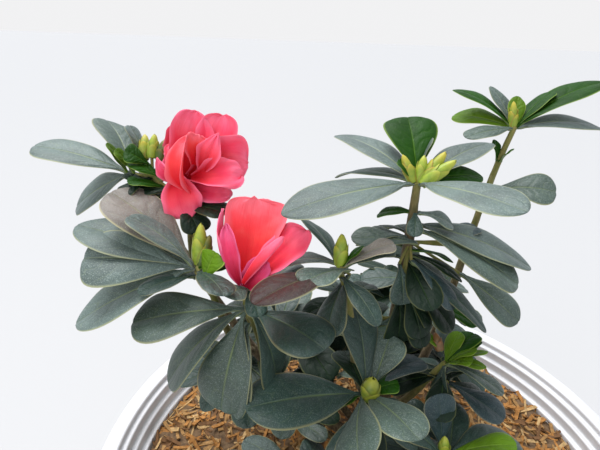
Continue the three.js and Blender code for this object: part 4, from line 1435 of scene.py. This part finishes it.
def profileHost(name, line):
    mesh = bpy.data.meshes.new(name)
    points = [(point[0] * mm, 0, point[1] * mm) for point in line]
    mesh.from_pydata(points, [(i, i + 1) for i in range(len(points) - 1)], [])
    return placed(name, mesh)


# Soil: heaped a little round the stem, and rough on top, in mm
soilSet = {
    "floor": 3.4,
    "edge": 221,
    "middle": 226,
    "rings": 40,
    "wallRings": 8,
    "clearance": 0.5,
    "segments": 120,
    "lumps": 1.6,
    "waves": 26,  # waves that the lumps are made of
    "wavePace": 0.22,
    "waveShare": 8,  # what the height of all waves is divided by
    "seed": 5,
}


# Radius of the pot's inner wall, between the corners at its foot and under its ledges
def wallRadius(height):
    (top, topHeight, _), (foot, footHeight, _) = potSet["corners"][-3:-1]
    return foot + (top - foot) * (height - footHeight) / (topHeight - footHeight)


def soilProfile():
    line = [np.array([0, soilSet["floor"]])]
    for height in np.linspace(soilSet["floor"], soilSet["edge"], soilSet["wallRings"]):
        line.append(np.array([wallRadius(height) - soilSet["clearance"], height]))
    rim = wallRadius(soilSet["edge"]) - soilSet["clearance"]
    for k in range(1, soilSet["rings"] + 1):
        share = 1 - k / soilSet["rings"]
        height = soilSet["edge"] + (soilSet["middle"] - soilSet["edge"]) * (1 - share ** 2)
        line.append(np.array([rim * share, height]))
    return line


def roughenTop(piece):
    points = np.array([vertex.co for vertex in piece.data.vertices]) / mm
    radius = np.hypot(points[:, 0], points[:, 1])
    top = points[:, 2] > soilSet["edge"] + 0.01
    dice = np.random.default_rng(soilSet["seed"])
    lift = np.zeros(len(points))
    for _ in range(soilSet["waves"]):
        wave = dice.normal(0, 1, 2) * soilSet["wavePace"]
        lift += np.sin(points[:, :2] @ wave + dice.uniform(0, anyPhase))
    points[:, 2] += np.where(top & (radius > 1), lift * soilSet["lumps"] / soilSet["waveShare"], 0)
    piece.data.vertices.foreach_set("co", (points * mm).astype(np.float32).ravel())
    piece.data.update()


# Mulch: curled strips of bark lying every way on the soil, in metres
mulchSet = {
    "density": 70000.0,
    "seed": 4,
    "long": 0.013,
    "wide": 0.0017,
    "thick": 0.0006,
    "cuts": 6,  # points along a strip
    "curl": 18.0,
    "bend": 9.0,
    "tilt": 0.42,  # radians
    "wallGap": 0.0008,
    "facing": 0.5,  # strips lie only where the soil faces up by more than this
    "sizes": ((0.35, 0.5, 0.7), (1.5, 1.5, 1.4)),
    "dealSeeds": (11, 12, 13),  # for angles, sizes and colours
    "shares": {"umber": -1.0, "tan": 0.22, "orange": 0.55, "straw": 0.84},  # where each colour's share starts
}


def mulchTree(stripMaterials):
    given = [("Geometry", "NodeSocketGeometry", None), ("Density", "NodeSocketFloat", 40000.0),
             ("Seed", "NodeSocketInt", 1), ("Long", "NodeSocketFloat", 0.012),
             ("Wide", "NodeSocketFloat", 0.002),
             ("Thick", "NodeSocketFloat", 0.0005), ("Curl", "NodeSocketFloat", 10.0),
             ("Tilt", "NodeSocketFloat", 0.4), ("Wall Foot", "NodeSocketFloat", 0.104),
             ("Wall Slope", "NodeSocketFloat", 0.1163)]
    tree, start, end = newGroup("scatterMulch", "GeometryNodeTree", given,
                                [("Geometry", "NodeSocketGeometry")])
    wanted = start.outputs
    angleSeed, sizeSeed, colourSeed = mulchSet["dealSeeds"]
    normal = tree.nodes.new("GeometryNodeInputNormal").outputs[0]
    facing = maths(tree, "GREATER_THAN", splitVector(tree, normal)[2], mulchSet["facing"])
    spots = addNode(tree, "GeometryNodeDistributePointsOnFaces", {"distribute_method": "RANDOM"},
                    Mesh=wanted["Geometry"], Selection=facing, Density=wanted["Density"], Seed=wanted["Seed"])
    size = joinVector(tree, wanted["Long"], wanted["Wide"], wanted["Thick"])
    strip = addNode(tree, "GeometryNodeMeshCube", None, Size=size)
    strip.inputs["Vertices X"].default_value = mulchSet["cuts"]
    along = splitVector(tree, tree.nodes.new("GeometryNodeInputPosition").outputs[0])[0]
    squared = maths(tree, "MULTIPLY", along, along)
    aside = maths(tree, "MULTIPLY", squared, mulchSet["bend"])
    sag = joinVector(tree, 0.0, aside, maths(tree, "MULTIPLY", squared, wanted["Curl"]))
    bent = addNode(tree, "GeometryNodeSetPosition", None, Geometry=strip.outputs[0], Offset=sag)
    tilt = wanted["Tilt"]
    back = maths(tree, "MULTIPLY", tilt, -1.0)
    lowest, highest = joinVector(tree, back, back), joinVector(tree, tilt, tilt, math.tau)
    angles = addNode(tree, "FunctionNodeRandomValue", {"data_type": "FLOAT_VECTOR"}, i0=lowest, i1=highest,
                     Seed=angleSeed)
    sizes = addNode(tree, "FunctionNodeRandomValue", {"data_type": "FLOAT_VECTOR"}, i0=mulchSet["sizes"][0],
                    i1=mulchSet["sizes"][1], Seed=sizeSeed)
    turnNode = addNode(tree, "FunctionNodeEulerToRotation", None, Euler=angles.outputs[0])
    laid = addNode(tree, "GeometryNodeInstanceOnPoints", None, Points=spots.outputs[0],
                   Instance=bent.outputs[0],
                   Rotation=turnNode.outputs[0], Scale=sizes.outputs[0])
    deal = addNode(tree, "FunctionNodeRandomValue", {"data_type": "FLOAT"}, i2=0.0, i3=1.0, Seed=colourSeed)
    marked = addNode(tree, "GeometryNodeStoreNamedAttribute", {"data_type": "FLOAT", "domain": "INSTANCE"},
                     Geometry=laid.outputs[0], Name="deal", Value=deal.outputs[1])
    flow = addNode(tree, "GeometryNodeRealizeInstances", None, i0=marked.outputs[0]).outputs[0]
    # strips that reach past the wall are pressed back against it
    spot = tree.nodes.new("GeometryNodeInputPosition").outputs[0]
    level = vectorMaths(tree, "MULTIPLY", spot, (1, 1, 0))
    reach = addNode(tree, "ShaderNodeVectorMath", {"operation": "LENGTH"}, i0=level).outputs[1]
    wall = maths(tree, "MULTIPLY_ADD", splitVector(tree, spot)[2], wanted["Wall Slope"], wanted["Wall Foot"])
    past = maths(tree, "MAXIMUM", maths(tree, "SUBTRACT", reach, wall), 0.0)
    inward = scaled(tree, vectorMaths(tree, "NORMALIZE", level), maths(tree, "MULTIPLY", past, -1.0))
    flow = addNode(tree, "GeometryNodeSetPosition", None, Geometry=flow, Offset=inward).outputs[0]
    dealt = addNode(tree, "GeometryNodeInputNamedAttribute", {"data_type": "FLOAT"}, Name="deal").outputs[0]
    for material, share in stripMaterials:
        chosen = maths(tree, "GREATER_THAN", dealt, share)
        painted = addNode(tree, "GeometryNodeSetMaterial", None, Geometry=flow, Selection=chosen,
                          Material=material)
        flow = painted.outputs[0]
    feed(tree, end.inputs["Geometry"], flow)
    return tree


potLine = roundedProfile(potSet["corners"], potSet["arcSteps"], potSet["holdBack"])
potBody = grown("potBody", profileHost("potProfile", potLine), lathe(materials["plastic"]),
                Segments=potSet["segments"])
soilBed = grown("soilBed", profileHost("soilProfile", soilProfile()), lathe(materials["soil"]),
                Segments=soilSet["segments"])
roughenTop(soilBed)
mulchHost = placed("mulchHost", soilBed.data.copy())
stripShares = [(materials["strip_" + tone], share) for tone, share in mulchSet["shares"].items()]
mulch = grown("mulchStrips", mulchHost, mulchTree(stripShares), Density=mulchSet["density"],
              Seed=mulchSet["seed"],
              Long=mulchSet["long"], Wide=mulchSet["wide"], Thick=mulchSet["thick"], Curl=mulchSet["curl"],
              Tilt=mulchSet["tilt"], WallFoot=wallRadius(0) * mm - mulchSet["wallGap"],
              WallSlope=wallRadius(1) - wallRadius(0))
print("pot, soil and mulch made:", len(mulch.data.polygons), "mulch faces")

# Twigs, and the stalks of leaves that stand away from their shoot's tip, in mm
twigSet = {
    "radius": 1.15,
    "tip": 0.8,
    "step": 1.2,
    "leave": 0.4,  # share of its reach that a twig first goes out
    "rise": 0.2,  # how far it climbs meanwhile, against its whole climb
    "arrive": 0.3,  # share of its reach that it comes up at the end
    "stalk": 0.7,
    "stalkPoints": 6,
    "stalkFrom": 4.0,
}
# Where lead leaves and buds start at a shoot's tip
shootRule = {
    "leadGrid": (26, 12),  # rows and columns of a lead leaf
    "leafOut": 0.8,  # mm
    "leafDown": 0.8,
    "budOut": 0.7,  # in radii of the bud
    "budDown": 1.0,  # mm
    "near": 8,  # mm from a whorl's tip, within which a shoot's leaves take its room
}


# Where a leaf or bud starts: beside the shoot's tip, or at a place of its own that a stalk leads to
def ownBase(paths, tip, own, beside):
    if not own:
        return tip + beside
    base = np.array(own[0], float)
    if np.linalg.norm((base - tip)[:2]) > twigSet["stalkFrom"]:
        count = twigSet["stalkPoints"]
        steps = np.linspace(0, 1, count)[:, None]
        paths[f"stalk{len(paths)}"] = (tip + (base - tip) * steps, np.full(count, twigSet["stalk"]))
    return base


def addTwig(paths, name, limb, share, tip):
    along = paths[limb][0]
    begin = along[round(share * (len(along) - 1))]
    tip = np.array(tip, float)
    span = np.linalg.norm(tip - begin)
    outward = unit((tip - begin) * [1, 1, twigSet["rise"]])
    corners = (begin, begin + outward * span * twigSet["leave"], tip - [0, 0, span * twigSet["arrive"]], tip)
    points, walked = evenCurve(corners, twigSet["step"])
    radii = twigSet["radius"] + (twigSet["tip"] - twigSet["radius"]) * walked / walked[-1]
    paths[name] = (points, radii)


paths = limbPaths()
for number, shoot in enumerate(shoots):
    if "limb" in shoot:
        addTwig(paths, f"twig{number}", *shoot["limb"], shoot["tip"])

# Leaves and buds, one leaf piece for each mass of foliage
massBough = {"front_corner_left": "bough_corner_left", "front_corner_right": "bough_corner_right"}
budBundle = newBundle()
for name, (place, count, lift, length, tones, sprays) in whorls.items():
    dice = np.random.default_rng(sum(map(ord, name)))
    bundle = newBundle()
    taken = []
    for shoot in shoots:
        if shoot["mass"] != name:
            continue
        tip = np.array(shoot["tip"], float)
        for turn, lean, reach, width, roll, tone, *own in shoot["leads"]:
            beside = direction(turn, 0) * shootRule["leafOut"] - [0, 0, shootRule["leafDown"]]
            base = ownBase(paths, tip, own, beside)
            addLeaf(bundle, base, (turn, lean, reach, width, roll), tone, dice, *shootRule["leadGrid"])
            if np.linalg.norm(tip - place) < shootRule["near"]:
                taken.append(direction(turn, lean))
        for turn, lean, reach, radius, tone, *own in shoot.get("buds", []):
            beside = direction(turn, 0) * radius * shootRule["budOut"] - [0, 0, shootRule["budDown"]]
            base = ownBase(paths, tip, own, beside)
            addBud(budBundle, base, turn, lean, reach, radius, "bud_" + tone, dice)
    addWhorl(bundle, place, count, lift, length, tones, taken, dice)
    limb = massBough.get(name, "bough_" + name)
    for k in range(sprays):
        first, last = whorlRule["sprayFrom"]
        share = first + (last - first) * k / max(sprays - 1, 1)
        along = paths[limb][0]
        begin = along[round(share * (len(along) - 1))]
        tip = begin + direction(k * goldenTurn + place[0], whorlRule["sprayLift"]) * whorlRule["sprayReach"]
        addTwig(paths, f"spray_{name}{k}", limb, share, tip)
        addWhorl(bundle, tip, whorlRule["sprayLeaves"], whorlRule["sprayLeafLift"], whorlRule["sprayLeaf"],
                 tones, [], dice)
    piece = makeMesh("leaves_" + name, bundle)
    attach(piece, "root")
    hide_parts("foliage_" + name)
print("leaves made")
limbs = grown("barkLimbs", lineHost("limbLines", list(paths.values())), barkTree(materials["bark"]))
print("limbs made:", len(limbs.data.polygons), "faces")
buds = makeMesh("buds", budBundle)
bloomPieces = [addBloom(name, bloom) for name, bloom in blooms.items()]
print("buds and blooms made")

for piece, slotName, nodes in [(potBody, "pot", ["pot", "pot_rim"]), (soilBed, "soil", ["soil"]),
                               (mulch, "soil", []),
                               (limbs, "bark", ["main_stem", *boughs]), (buds, "foliage", []),
                               (bloomPieces[0], "bloom", []), (bloomPieces[1], "bloom", [])]:
    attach(piece, "root")
    if nodes:
        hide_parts(*nodes)
